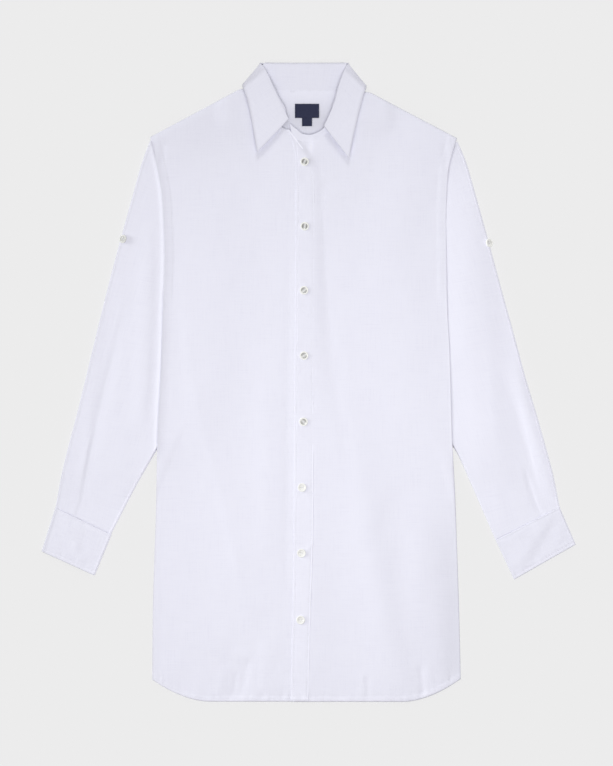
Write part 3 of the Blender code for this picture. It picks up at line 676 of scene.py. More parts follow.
def shoulder_height(name, across):
    s = SHOULDERS[name]
    slope = (s.tip_height - s.neck_height) / (s.tip_x - s.neck_x)
    dip = NECK_DIP * within(across, s.neck_x + NECK_DIP_REACH, NECK_DIP_REACH)
    return s.neck_height + slope * (across - s.neck_x) - dip


def front_top(name, across):
    beside = across >= SHOULDERS[name].neck_x
    return np.where(beside, shoulder_height(name, across), NECK_OF[name](across))


def back_top(x):
    beside = np.abs(x) >= np.where(x < 0, SHOULDERS["right"].neck_x, SHOULDERS["left"].neck_x)
    return np.where(beside, by_side(x, shoulder_height, np.abs(x)), BACK_NECK_HEIGHT(x))


def fold_rise(folds, x, height):
    """Sum of the solids' broad folds at a place."""
    total = np.zeros(np.broadcast(x, height).shape)
    for fold in folds:
        run_x, run_h = fold.x_low - fold.x_top, fold.height_low - fold.height_top
        length = math.hypot(run_x, run_h)
        along = ((x - fold.x_top) * run_x + (height - fold.height_top) * run_h) / length
        across = ((x - fold.x_top) * run_h - (height - fold.height_top) * run_x) / length
        reach = np.minimum(along + fold.width, length + fold.width - along)
        fade = smooth_step(reach / (FOLD_FADE * length))
        total += fold.rise * fade * bell(across, fold.width)
    return total


def crease_rise(creases, x, height):
    """Sum of the creases at a place."""
    total = np.zeros(np.broadcast(x, height).shape)
    for crease in creases:
        heights = [p[1] for p in crease.crest]
        line = curve(heights, [p[0] for p in crease.crest])
        top, low, length = max(heights), min(heights), max(heights) - min(heights)
        slope = (line(height + 1) - line(height - 1)) / 2
        across = (x - line(height)) / np.sqrt(1 + slope**2)
        width = np.where(across < 0, crease.left, crease.right)
        fade = 1.0
        for gap, (share, start) in ((top - height, CREASE_TOP), (height - low, CREASE_LOW)):
            fade = fade * smooth_step(gap / (share * length) + start)
        total += crease.rise * fade * bell(across, width)
    return total


def back_lift(x, height, ramp=TUCK_RAMP):
    """How far the back's underside is held off the floor."""

    def tuck(name):
        beside = height > SLEEVES[name][-1].inner_height
        return np.where(beside, TUCK_OF[name](height), PAST_THE_SLEEVES)

    tucked = by_side(x, tuck)
    over_sleeve = beyond(np.abs(x), tucked - TUCK_MARGIN - ramp, ramp)
    up = beyond(height, COLLAR_LIFT_LOW, COLLAR_LIFT_HIGH - COLLAR_LIFT_LOW)
    near = within(np.abs(x), COLLAR_LIFT_HALF + COLLAR_LIFT_FADE, COLLAR_LIFT_FADE)
    return np.maximum(TUCK_LIFT * over_sleeve, COLLAR_LIFT * up * near)


def from_side(x, height):
    return by_side(x, body_side, height) - np.abs(x)


def from_shoulder(x, height):
    def gap(name):
        s = SHOULDERS[name]
        pitch = math.atan2(s.neck_height - s.tip_height, s.tip_x - s.neck_x)
        return (shoulder_height(name, np.abs(x)) - height) * math.cos(pitch)

    return by_side(x, gap)


def sleeved(height):
    """1 where a sleeve lies beside and below the body's edge."""
    return beyond(height, *SLEEVED_FROM)


def edge_roll(x, height):
    """0 on the body's outer edges, 1 away from them."""
    hem = mix(HEM_EDGE, 1.0, rounded((height - hem_height(x)) / HEM_ROLL))
    side = mix(rounded(from_side(x, height) / EDGE_ROLL), 1.0, sleeved(height))
    return side * rounded(from_shoulder(x, height) / EDGE_ROLL) * hem


def front_under(x, height):
    """Underside of the lower front, which follows the back with some air between."""
    air = PUFF + FOLD_SHARE * fold_rise(BODY_FOLDS, x, height)
    roll = edge_roll(x, height)
    wide = back_lift(x, height, FRONT_TUCK_RAMP) * beyond(height, *FRONT_TUCK_FROM)
    lift = np.maximum(back_lift(x, height), wide)
    return lift + WALL + LAYER_GAP + np.maximum(air, LEAST_PUFF) * roll


def groove(distance):
    """The dent that a row of stitches pulls into the cloth."""
    return -GROOVE * bell(distance, GROOVE_WIDTH)


def gather(rule, along, distance):
    """Small gathers that run away from a seam."""
    waves = [share * ripple(along, along * 0, size, 1.0, rule.seed + k) for share, size, k in GATHER_WAVES]
    return rule.rise * sum(waves) * np.exp(-np.abs(distance) / rule.reach)


def hem_relief(x, height):
    """The turned hem: a raised band, its row of stitches and the gathers above it."""
    hem = (height - hem_height(x)) * (1 - HEM_NARROWED * beyond(np.abs(x), *HEM_NARROW_FROM))
    band = within(hem, HEM_BAND + HEM_STEP / 2, HEM_STEP) * beyond(hem, *HEM_LIP)
    return HEM_RISE * band + groove(hem - HEM_BAND + HEM_SEAM) + gather(HEM_GATHERS, x, hem - HEM_BAND)


def armhole_relief(x, height):
    """The seam allowance along the armhole, with its row of stitches."""
    side = from_side(x, height)
    band = within(side, ARMHOLE_BAND + ARMHOLE_STEP / 2, ARMHOLE_STEP) * rounded(side / ARMHOLE_ROLL)
    seam = ARMHOLE_GROOVE * groove(side - ARMHOLE_BAND + ARMHOLE_SEAM)
    relief = ARMHOLE_RISE * band + seam + gather(ARMHOLE_GATHERS, height, side - ARMHOLE_BAND)
    return relief * beyond(height, ARMHOLE_LOW, ARMHOLE_RAMP)


def front_detail(x, height):
    """Creases and seams of the fronts, on top of the solids' form."""
    relief = crease_rise(BODY_CREASES, x, height) + rumple(LINEN_RUMPLE, x, height, LINEN_SEEDS["front"])
    ridge = ARM_RIDGE * np.clip(1 - from_side(x, height) / ARM_RIDGE_REACH, 0, 1) ** 2
    ridge = ridge * sleeved(height) * within(height, *ARM_RIDGE_BELOW) * np.where(x < 0, 1, ARM_RIDGE_LEFT)
    return relief * edge_roll(x, height) + ridge + hem_relief(x, height) + armhole_relief(x, height)


def placket_loft(x, height):
    """The fronts' rise towards the placket, so that its edges stand little above them."""
    low = np.minimum(height, PLACKET_EDGES[-1].height)
    outer, inner = PLACKET_OUTER(low) - x, x - PLACKET_INNER(low)
    dip = DIP_LINE(height) - PLACKET_INNER(low)
    reach = np.where(x < 0, PLACKET_LOFT_REACH, np.clip(dip, *PLACKET_LOFT_LEFT))
    return PLACKET_LOFT * smooth_step(1 - np.maximum(outer, inner) / reach) * edge_roll(x, height)


def side_shading(x, height):
    """Painted shade along the fronts' turned edges and at the lower left corner, and painted light on the
    hem.
    """
    edge = from_side(x, height) + SHOULDER_INSET * beyond(height, *SHOULDER_INSET_ABOVE)
    turned = mix(EDGE_SHADE, ARM_SIDE_LIGHT, sleeved(height) * (x > 0)) * within(edge, *EDGE_WIDTH)
    hem = HEM_LIGHT * within(height - hem_height(x), *HEM_WIDTH)
    arm = ARM_SHADE * np.clip(1 - edge / ARM_RIDGE_REACH, 0, 1) ** 2 * sleeved(height) * (x < 0)
    corner = CORNER_SHADE * beyond(x, *CORNER_BEYOND) * within(height, *CORNER_BELOW)
    low = LOW_EDGE_SHADE * within(edge, *LOW_EDGE_WIDTH) + LOW_SIDE_SHADE * within(edge, *LOW_SIDE_WIDTH)
    low = low * within(height, *LOW_SIDE_BELOW) * (x < 0)
    return turned - hem + arm + corner + low + shoulder_shading(x, height) + lap_tone(x, height)


def shoulder_shading(x, height):
    """Painted shade on the wearer's right shoulder and along both shoulder seams."""
    shade = SHOULDER_SHADE * beyond(height, *SHOULDER_ABOVE) * within(x, *SHOULDER_BELOW_X)
    from_seam = SEAM_SLOPE * (by_side(x, shoulder_height, np.abs(x)) - height)
    return shade + np.where(x < 0, *SEAM_SHADES) * within(from_seam, *SEAM_WIDTH) * (np.abs(x) > SEAM_FROM)


def lap_tone(x, height):
    """The shade beside the turned end of the placket, and the light above it."""
    from_edge = np.abs(x - PLACKET_INNER(height) - 1)
    shade = LAP_TONE * within(from_edge, *LAP_WIDTH) * beyond(height, *LAP_ABOVE)
    return shade * (x > LAP_FROM) - lap_light(x, height)


def lap_light(x, height):
    """A pale streak where the light comes in between the two fronts at the neck."""
    (at_x, at_height), (wide, high) = LAP_LIGHT_AT, LAP_LIGHT_SIZE
    return LAP_LIGHT * bell(x - at_x, wide) * bell(height - at_height, high)


def front_surface(name, x, height):
    """Top of a front."""
    z = front_under(x, height) + WALL + front_detail(x, height) + placket_loft(x, height)
    if name == "right":
        edge = PLACKET_OUTER(np.minimum(height, PLACKET_EDGES[-1].height)) - x
        z = z + gather(LAP_GATHERS, height, edge) * smooth_step(edge / LAP_EDGE)
    return z


def new_collection():
    shirt = bpy.data.collections.new("shirt_looks")
    bpy.context.scene.collection.children.link(shirt)
    return shirt


def to_world(points):
    """Points of X, H and Z in millimetres as metres in the part's frame."""
    points = np.array(points, float)
    points[..., 1] -= HALF_LENGTH
    return points * MM


def add_piece(name, mesh, material, nodes=()):
    piece = bpy.data.objects.new(name, mesh)
    LOOKS.objects.link(piece)
    mesh.materials.append(material)
    mesh.shade_smooth()
    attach(piece, "root")
    if nodes:
        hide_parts(*nodes)
    return piece


def set_painted_shading(mesh, tone):
    """How much painted shade darkens the material at each point, below 0 for painted light."""
    shade = mesh.attributes.new("tone", "FLOAT", "POINT")
    values = np.broadcast_to(np.asarray(tone, np.float32), len(mesh.vertices))
    shade.data.foreach_set("value", np.ascontiguousarray(values))


def grid_mesh(name, grid, weave, tone, ring=False):
    """A mesh over a grid of points, with the cloth's own threads as its texture map."""
    rows, columns = grid.shape[:2]
    index = np.arange(rows * columns).reshape(rows, columns)
    here, beside = index[:, :-1], index[:, 1:]
    if ring:
        here, beside = index, np.roll(index, -1, axis=1)
    quads = np.stack([here[:-1], beside[:-1], beside[1:], here[1:]], axis=-1).reshape(-1, 4)
    mesh = bpy.data.meshes.new(name)
    mesh.from_pydata(to_world(grid).reshape(-1, 3).tolist(), [], quads.tolist())
    layer = mesh.uv_layers.new(name="threads")
    uv = (np.stack(weave, axis=-1).reshape(-1, 2) * MM)[quads.reshape(-1)]
    layer.uv.foreach_set("vector", uv.astype(np.float32).ravel())
    set_painted_shading(mesh, np.broadcast_to(tone, grid.shape[:2]).ravel())
    return mesh


def add_cloth(
    name, grid, weave, material, nodes, wall=CLOTH, ring=False, offset=-1.0, tone=0.0
):
    """One piece of cloth: a sheet or, with ring, a tube, as thick as its wall."""
    piece = add_piece(name, grid_mesh(name, grid, weave, tone, ring), material, nodes)
    solidify = piece.modifiers.new("Wall", "SOLIDIFY")
    solidify.thickness = wall * MM
    solidify.offset = offset
    solidify.use_even_offset = False
    return piece


def normals_of(grid):
    """Unit normals of a grid of points."""
    down, over = np.gradient(grid, axis=0), np.gradient(grid, axis=1)
    normal = np.cross(down, over)
    normal /= np.maximum(np.linalg.norm(normal, axis=-1, keepdims=True), 1e-9)
    return normal


def on_grid(grid, rows, columns):
    """Points of a grid at fractional rows and columns."""
    rows = np.clip(rows, 0, grid.shape[0] - 1.001)
    columns = np.clip(columns, 0, grid.shape[1] - 1.001)
    i, j = np.floor(rows).astype(int), np.floor(columns).astype(int)
    s, t = (rows - i)[:, None], (columns - j)[:, None]
    upper = mix(grid[i, j], grid[i, j + 1], t)
    lower = mix(grid[i + 1, j], grid[i + 1, j + 1], t)
    return mix(upper, lower, s)


def stitch_shape():
    """One stitch along X: a slim spindle whose ends dive into the cloth."""
    end, depth = STITCH_END
    corners, faces = [(-end, 0, depth)], []
    for along, radius, sink in STITCH_RINGS:
        for k in range(STITCH_SIDES):
            angle = 2 * math.pi * k / STITCH_SIDES
            corners.append((along, radius * math.cos(angle), radius * math.sin(angle) + sink))
    corners.append((end, 0, depth))
    last = 1 + (len(STITCH_RINGS) - 1) * STITCH_SIDES
    for k in range(STITCH_SIDES):
        after = (k + 1) % STITCH_SIDES
        faces.append((0, 1 + after, 1 + k))
        for ring in range(len(STITCH_RINGS) - 1):
            a, b = 1 + ring * STITCH_SIDES, 1 + (ring + 1) * STITCH_SIDES
            faces += [(a + k, a + after, b + after), (a + k, b + after, b + k)]
        faces.append((len(corners) - 1, last + k, last + after))
    return np.array(corners), np.array(faces)


def run_of(line):
    """Length along a line of points, up to each of them."""
    return np.concatenate([[0], np.cumsum(np.linalg.norm(np.diff(line, axis=0), axis=1))])


def add_stitches(name, paths, material):
    """Rows of stitches along paths, each given as a grid with rows and columns on it."""
    corners, faces = stitch_shape()
    every_point, every_face, count = [], [], 0
    for grid, rows, columns in paths:
        rows, columns = np.broadcast_arrays(np.asarray(rows, float), np.asarray(columns, float))
        line = on_grid(grid, rows, columns)
        normal = on_grid(normals_of(grid), rows, columns)
        if normal[:, 2].mean() < 0:
            normal = -normal
        run = run_of(line)
        marks = np.arange(STITCH_PITCH, run[-1] - STITCH_PITCH / 2, STITCH_PITCH)

        def at(values, places):
            return np.stack([np.interp(places, run, values[:, k]) for k in range(3)], axis=-1)

        middle, up_way = at(line, marks), at(normal, marks)
        way = at(line, marks + STITCH_AIM) - at(line, marks - STITCH_AIM)
        way /= np.linalg.norm(way, axis=1, keepdims=True)
        up_way -= way * (up_way * way).sum(1, keepdims=True)
        up_way /= np.linalg.norm(up_way, axis=1, keepdims=True)
        aside = np.cross(up_way, way)
        base = middle + up_way * STITCH_LIFT
        points = (
            base[:, None]
            + way[:, None] * (corners[:, :1] * STITCH_LENGTH)[None]
            + aside[:, None] * (corners[:, 1:2] * STITCH_RADIUS)[None]
            + up_way[:, None] * (corners[:, 2:] * STITCH_RADIUS)[None]
        )
        starts = count + np.arange(len(marks)) * len(corners)
        every_point.append(points.reshape(-1, 3))
        every_face.append((faces[None] + starts[:, None, None]).reshape(-1, 3))
        count += len(marks) * len(corners)
    mesh = bpy.data.meshes.new(name)
    points, faces = np.concatenate(every_point), np.concatenate(every_face)
    mesh.from_pydata(to_world(points).tolist(), [], faces.tolist())
    return add_piece(name, mesh, material)


def panel_places(side, centre, top, columns, rows):
    """X and H over a body panel, from the hem up to its own top edge."""
    low, high = (np.full_like(columns, limit) for limit in TOP_RANGE)
    for _ in range(HALVINGS):
        height = (low + high) / 2
        below = height < top(mix(side(height), centre(height), columns))
        low, high = np.where(below, height, low), np.where(below, high, height)
    hems = hem_height(mix(side(NEAR_HEM), centre(NEAR_HEM), columns))
    heights = mix(hems, low, rows[:, None])
    return mix(side(heights), centre(heights), columns), heights


def right_side(height):
    return -body_side("right", height)


def left_side(height):
    return body_side("left", height)


def right_centre(height):
    """The lapping front's edge, which runs on a little below the placket."""
    edge = PLACKET_OUTER(np.minimum(height, PLACKET_EDGES[-1].height))
    return edge + LAP_RUN_ON * within(height, *LAP_RUN_BELOW)


def left_centre(height):
    return PLACKET_OUTER(np.minimum(height, UNDERLAP_TOP)) + UNDERLAP_INSET


def row_at(heights, places):
    """Fractional rows at which a grid's single column reaches the given heights."""
    return np.interp(places, heights, np.arange(len(heights)))


def hem_path(grid):
    """The row of stitches along a front's hem."""
    height = grid[..., 1]
    columns = np.linspace(2, grid.shape[1] - 1.5, 400)
    rows = [row_at(height[:, int(c)] - height[0, int(c)], HEM_BAND - HEM_SEAM) for c in columns]
    return grid, np.array(rows), columns


def armhole_path(grid, name, sign):
    """The row of stitches beside a front's armhole."""
    heights = np.linspace(ARMHOLE_LOW + 10, ARMHOLE_TOP, 200)
    rows = np.array([row_at(grid[:, ARMHOLE_COLUMN, 1], h) for h in heights])
    inward = ARMHOLE_BAND - ARMHOLE_SEAM - SIDE_OF[name](heights)
    order = np.arange(grid.shape[1])
    columns = [np.interp(v, -sign * grid[int(row), :, 0], order) for v, row in zip(inward, rows)]
    return grid, rows, np.array(columns)


def make_front(name):
    sign, side, centre = (-1, right_side, right_centre) if name == "right" else (1, left_side, left_centre)
    columns, rows = dense_ends(98, 0.45), dense_ends(400, 0.3)
    x, height = panel_places(side, centre, lambda x: front_top(name, sign * x), columns, rows)
    grid = np.stack([x, height, front_surface(name, x, height)], axis=-1)
    tone = side_shading(x, height)
    cloth = add_cloth("linen_front_" + name, grid, (x, height), LINEN, ["front_" + name], tone=tone)
    paths = [hem_path(grid), armhole_path(grid, name, sign)]
    return cloth, add_stitches("stitches_front_" + name, paths, THREAD)


def back_surface(x, height):
    """Top of the back, which shows inside the neck."""
    inside = rumple(BACK_RUMPLE, x, height) * beyond(height, *BACK_RUMPLE_ABOVE)
    seam = BACK_NECK_HEIGHT(np.clip(x, -BACK_SEAM_SHOWN, BACK_SEAM_SHOWN)) - height
    near_neck = within(np.abs(x), *BACK_SHOWN)
    return back_lift(x, height) + WALL + (inside + gather(NECK_GATHERS, x, seam)) * near_neck


def make_back():
    columns, rows = dense_ends(80, 0.35), dense_ends(200, 0.3)
    halves = []
    for side in (right_side, left_side):

        def turned_in(height):
            inset = BACK_INSET * beyond(height, BACK_INSET_TOP - BACK_INSET_RAMP, BACK_INSET_RAMP)
            return side(height) * (1 - inset / np.abs(side(height)))

        halves.append(panel_places(turned_in, right_centre, back_top, columns, rows))
    (x_right, h_right), (x_left, h_left) = halves
    x = np.concatenate([x_right, x_left[:, ::-1][:, 1:]], axis=1)
    height = np.concatenate([h_right, h_left[:, ::-1][:, 1:]], axis=1)
    grid = np.stack([x, height, back_surface(x, height)], axis=-1)
    return add_cloth("linen_back", grid, (x, height), LINEN, ["back"], tone=neck_shading(height))


def neck_shading(height):
    """Painted shade on the back's inside towards the front of the neck, and painted light in a band higher
    up.
    """
    place, reach = NECK_LIGHT_AT
    share = mix(NECK_FRONT_SHARE, 1.0, beyond(height, *NECK_FRONT))
    return NECK_SHADE * within(height, *NECK_DEEP) * share - NECK_LIGHT * bell(height - place, reach)


def placket_width(height):
    return PLACKET_INNER(height) - PLACKET_OUTER(height)


def placket_surface(x, height, across):
    """Top of the placket; across runs from 0 on its sewn edge to 1 on its free edge."""
    edge = np.minimum(across, 1 - across) * placket_width(height)
    z = front_under(x, height) + WALL + front_detail(x, height) + placket_loft(x, height) + PLACKET_STEP
    z = z + PLACKET_LOW_RISE * within(height, *PLACKET_LOW)
    z = z - PLACKET_EDGE_DROP * (1 - rounded(edge / PLACKET_EDGE_ROLL))
    from_seam = edge - PLACKET_SEAM
    z = z + PLACKET_GROOVE * groove(from_seam) + gather(PLACKET_GATHERS, height, from_seam)
    z = z + PLACKET_WAVE_RISE * ripple(height, x, *PLACKET_WAVE) + rumple(PLACKET_RUMPLE, x, height)
    for spot in BUTTON_SPOTS:
        away = np.hypot(x - spot.x, (height - spot.height) * BUTTON_DENT_STRETCH)
        z = z - BUTTON_DENT * bell(away, BUTTON_DENT_REACH)
    bend_height, bend_x, slope = PLACKET_BEND
    slack = np.exp(-((height - bend_height - (x - bend_x) * slope) ** 2) / PLACKET_BEND_SPREAD)
    return z + PLACKET_BEND_RISE * slack * beyond(across, *PLACKET_BEND_FROM)


def placket_shading(height, across):
    """Painted light: a little on the whole placket, more low down and along its edges, and a painted
    highlight on its turned end.
    """
    width = placket_width(height)
    turned = TURNED_HIGHLIGHT * within((1 - across) * width, *TURNED_WIDTH) * beyond(height, *TURNED_ABOVE)
    low = PLACKET_LOW_LIGHT * within(height, *PLACKET_LIGHT_BELOW)
    edge = np.minimum(across, 1 - across) * width
    pale = mix(*PLACKET_EDGE_LIGHT, across) * within(edge, *PLACKET_EDGE_WIDTH)
    return -PLACKET_LIGHT - low - turned - pale * mix(0.5, 1.0, within(height, *PLACKET_EDGE_BELOW))


def make_placket():
    across, rows = dense_ends(19, 0.55), np.linspace(0, 1, 430)
    height = np.repeat((rows * PLACKET_EDGES[-1].height)[:, None], len(across), axis=1)
    wave = FREE_EDGE_RISE * ripple(height, height * 0, *FREE_EDGE_WAVE)
    x = mix(PLACKET_OUTER(height) - PLACKET_OVER, PLACKET_INNER(height) + wave, across)
    grid = np.stack([x, height, placket_surface(x, height, across)], axis=-1)
    tone = placket_shading(height, across)
    cloth = add_cloth("linen_placket", grid, (x, height), LINEN, ["placket"], wall=PLACKET_CLOTH, tone=tone)
    columns = np.arange(len(across))
    inset = np.interp(PLACKET_SEAM / np.maximum(placket_width(height[:, 0]), 8), across, columns)
    along = np.arange(*PLACKET_SEWN)
    paths = [(grid, along, inset[along]), (grid, along, columns[-1] - inset[along])]
    return cloth, add_stitches("stitches_placket", paths, THREAD)


def span(outer, inner):
    """Width of a flattened tube between its two fold edges."""
    return math.hypot(inner[0] - outer[0], inner[1] - outer[1])


def fold_roll(x, height, outer, inner, reach):
    """0 on the two fold edges of a flattened tube, 1 away from them."""
    away = np.hypot(x - outer[0], height - outer[1])
    return rounded(away / reach) * rounded((span(outer, inner) - away) / reach)


def tube_loop(outer, inner, flat, rise, top_count):
    """One closed section of a flattened tube, flat below, from its two fold edges."""
    width, radius = span(outer, inner), flat / 2
    inset = radius / width
    turn = np.radians(np.linspace(TUBE_TURN, -TUBE_TURN, TUBE_EDGE_POINTS))
    crown = mix(inset, 1 - inset, dense_ends(top_count, TUBE_DENSITY))
    base = mix(1 - inset, inset, np.linspace(0, 1, TUBE_BASE_POINTS))
    side = (1 - np.cos(turn)) * inset
    t = np.concatenate([crown, 1 - side, base, side])
    x, height = mix(outer[0], inner[0], t), mix(outer[1], inner[1], t)
    top = flat + rise(x[:top_count], height[:top_count])
    z = np.concatenate([top, radius * (1 + np.sin(turn)), 0 * base, radius * (1 - np.sin(turn))])
    around = np.concatenate([crown, 0 * side + 1, 2 - base, 0 * side + 2])
    return np.stack([x, height, z], axis=-1), around * width


def rim_shading(grid, outer, inner, reach=RIM_REACH):
    """Painted shade along the two fold edges of a flattened tube, painted light where a tone is below 0."""
    middle = (grid.max(axis=1, keepdims=True) + grid.min(axis=1, keepdims=True))[..., :2] / 2
    across = grid[:, :1, :2] - middle
    half = np.linalg.norm(across, axis=-1)
    place = ((grid[..., :2] - middle) * across).sum(-1) / half
    start = RIM_START * reach - half
    return outer * beyond(place, -start, reach) + inner * within(place, start, reach)


def sleeve_rise(name, outer, inner, fullness):
    """The rise of a sleeve's top across one of its sections."""

    def rise(x, height):
        beside = np.abs(x) - body_side(name, height)
        free = beyond(beside, PUFF_START[name], PUFF_REACH)
        air = np.maximum(SLEEVE_PUFF + FOLD_SHARE * fold_rise(SLEEVE_FOLDS[name], x, height), LEAST_AIR)
        detail = crease_rise(SLEEVE_CREASES[name], x, height)
        detail += WELTS[name] * bell(np.maximum(beside, 0), WELT_REACH)
        detail += SLEEVE_RUMPLE * rumple(LINEN_RUMPLE, x, height, LINEN_SEEDS[name])
        roll = fold_roll(x, height, outer, inner, SLEEVE_ROLL)
        return np.maximum(air * fullness + detail, SLEEVE_SAG) * roll * free

    return rise


def sleeve_shading(name, grid):
    """Painted shading of a sleeve: shade and light on both fold edges, and painted light beside the body.
    """
    height = grid[..., 1]
    beside = np.abs(grid[..., 0]) - body_side(name, height)
    pale = SLEEVE_LIGHT[name] * mix(0.75, 1.0, within(beside, *SLEEVE_LIGHT_WITHIN))
    tone = rim_shading(grid, *SLEEVE_RIM_SHADING[name]) - pale * within(height, *SLEEVE_LIGHT_BELOW)
    if name == "right":
        place, reach = WELT_LIGHT_AT
        return tone - WELT_LIGHT * bell(beside - place, reach) * within(height, *WELT_LIGHT_BELOW)
    return tone + rim_shading(grid, *LOW_SLEEVE_LIGHT) * within(height, *LOW_SLEEVE_BELOW)


def make_sleeve(name):
    sign, count = -1 if name == "right" else 1, 200
    rows = row_arrays(SLEEVES[name], count)
    loops, around = [], []
    for i in range(count):
        outer = (sign * rows.outer_x[i], rows.outer_height[i])
        inner = (sign * rows.inner_x[i], rows.inner_height[i])
        fullness = mix(SLEEVE_END, 1.0, smooth_step((count - 1 - i) / (SLEEVE_END_SHARE * count)))
        loop, place = tube_loop(outer, inner, SLEEVE_FLAT, sleeve_rise(name, outer, inner, fullness), 90)
        loops.append(loop)
        around.append(place)
    last = loops[-1]
    middle = last[:, :2].mean(axis=0)
    into_cuff = (np.mean(CUFFS[name][2:], axis=0) - np.mean(CUFFS[name][:2], axis=0)) / CUFF_DEPTH
    for tuck in SLEEVE_TUCKS:
        place = mix(middle, last[:, :2], tuck.width) + into_cuff * tuck.depth
        level = np.clip(last[:, 2], TUCK_LOW, CUFF_FLAT + tuck.lift)
        loops.append(np.column_stack([place, level]))
        around.append(around[-1])
    grid = np.array(loops)
    down = np.repeat(np.linspace(0, 600, len(grid))[:, None], grid.shape[1], axis=1)
    weave, tone = (np.array(around), down), sleeve_shading(name, grid)
    return add_cloth("linen_sleeve_" + name, grid, weave, LINEN, ["sleeve_" + name], ring=True, tone=tone)


def cuff_rise(name, outer, inner, t):
    """The rise of a cuff's top across the section at t, from its seam at 0 to its free end at 1."""
    free, seam = (1 - t) * CUFF_DEPTH, t * CUFF_DEPTH

    def rise(x, height):
        away = np.hypot(x - outer[0], height - outer[1])
        detail = crease_rise(CUFF_CREASES[name], x, height) + rumple(CUFF_RUMPLE, x, height)
        detail += groove(free - CUFF_END_INSET) + gather(CUFF_END_GATHERS, away, free - CUFF_END_INSET)
        detail += groove(seam - CUFF_SEAM_INSET) + gather(CUFF_SEAM_GATHERS, away, seam)
        ends = sum(drop * (rounded(gap / CUFF_END_ROLL) - 1) for drop, gap in zip(CUFF_DROPS, (free, seam)))
        return (CUFF_CROWN + detail) * fold_roll(x, height, outer, inner, CUFF_ROLL) + ends

    return rise


def make_cuff(name):
    seam_outer, seam_inner, free_inner, free_outer = CUFFS[name]
    loops, around, steps = [], [], dense_ends(44, 0.4)
    for t in steps:
        outer = [mix(a, b, t) for a, b in zip(seam_outer, free_outer)]
        inner = [mix(a, b, t) for a, b in zip(seam_inner, free_inner)]
        loop, place = tube_loop(outer, inner, CUFF_FLAT, cuff_rise(name, outer, inner, t), 72)
        loops.append(loop)
        around.append(place)
    grid = np.array(loops)
    down = np.repeat(steps[:, None] * CUFF_DEPTH, grid.shape[1], axis=1)
    # Painted shade and painted light along the cuff's fold edges
    cloth = add_cloth(
        "linen_cuff_" + name, grid, (np.array(around), down), LINEN, ["cuff_" + name],
        wall=STIFF_CLOTH, ring=True, tone=rim_shading(grid, *CUFF_RIM_SHADING[name]),
    )
    rows, columns = np.arange(len(steps)), np.linspace(1, 70, 200)
    places = (CUFF_DEPTH - CUFF_END_INSET, CUFF_SEAM_INSET)
    paths = [(grid, np.interp(place / CUFF_DEPTH, steps, rows), columns) for place in places]
    return cloth, add_stitches("stitches_cuff_" + name, paths, THREAD)


def bezier(points, t):
    a, b, c, d = (p[:, None, :] for p in points)
    t = t[None, :, None]
    s = 1 - t
    return a * s**3 + b * 3 * s * s * t + c * 3 * s * t * t + d * t**3


def collar_points(row, across):
    """Grid of the fall: over the fold, and down to the edge of the leaf."""
    fold = np.stack([row.fold_x, row.fold_height, row.fold_z], axis=-1)
    edge = np.stack([row.edge_x, row.edge_height, row.edge_z], axis=-1)
    out = (fold - edge) * [1, 1, 0]
    reach = np.linalg.norm(out, axis=1)[:, None]
    first = fold + out / reach * FOLD_BULGE
    first[:, 2] = mix(FOLD_BACK_SHARE * fold[:, 2], fold[:, 2] + FOLD_RISES[0], row.side)
    second = mix(fold, edge, mix(*FOLD_SHARES, row.side)[:, None])
    second[:, 2] = mix(edge[:, 2], fold[:, 2] + FOLD_RISES[1], row.side)
    return bezier((fold, first, second, edge), across), reach


def make_collar_fall():
    count, across = 330, dense_ends(46, 0.3)
    row = row_arrays(COLLAR, count)
    grid, reach = collar_points(row, across)
    run = run_of(grid[:, 24])
    along = np.repeat(run[:, None], len(across), axis=1)
    depth = reach * across
    rim = np.minimum(reach * (1 - across), np.minimum(along, run[-1] - along))
    relief = groove(rim - COLLAR_SEAM) + gather(COLLAR_GATHERS, along + depth, rim - COLLAR_SEAM)
    relief += rumple(COLLAR_RUMPLE, along, depth) - COLLAR_EDGE_DROP * (1 - rounded(rim / COLLAR_EDGE_ROLL))
    relief += COLLAR_RIM_RISE * bell(rim, COLLAR_RIM_REACH)
    grid[..., 2] += relief * row.side[:, None]
    # Painted shade along the collar's rim
    cloth = add_cloth(
        "linen_collar_fall", grid, (along, depth), LINEN, ["collar_fall"], wall=STIFF_CLOTH, offset=0,
        tone=COLLAR_SHADE * within(rim, *COLLAR_RIM),
    )
    shown = int(count * COLLAR_SHOWN)
    inset = np.interp(COLLAR_SEAM / depth[:, -1], across, np.arange(len(across)))
    paths = []
    for rows in (np.arange(4, shown - 3), np.arange(count - shown + 4, count - 4)):
        paths.append((grid, rows, len(across) - 1 - inset[rows]))
    for place in (COLLAR_SEAM, run[-1] - COLLAR_SEAM):
        paths.append((grid, np.interp(place, run, np.arange(count)), np.linspace(10, 42, 60)))
    return cloth, add_stitches("stitches_collar", paths, THREAD)


def neck_panel(row):
    """Height of the cloth that the stand is sewn to, smoothed along the neck."""
    beside = (np.abs(row.neck_x) > BACK_SEAM_HALF) | (row.neck_height < BACK_SEAM_LOW)
    on_front = beside & (row.neck_height < BACK_SEAM_TOP)
    neck = (row.neck_x, row.neck_height)
    panel = np.where(on_front, front_surface("left", *neck), back_surface(*neck))
    kernel = np.hanning(9)
    return np.convolve(np.pad(panel, 4, mode="edge"), kernel / kernel.sum(), mode="valid")


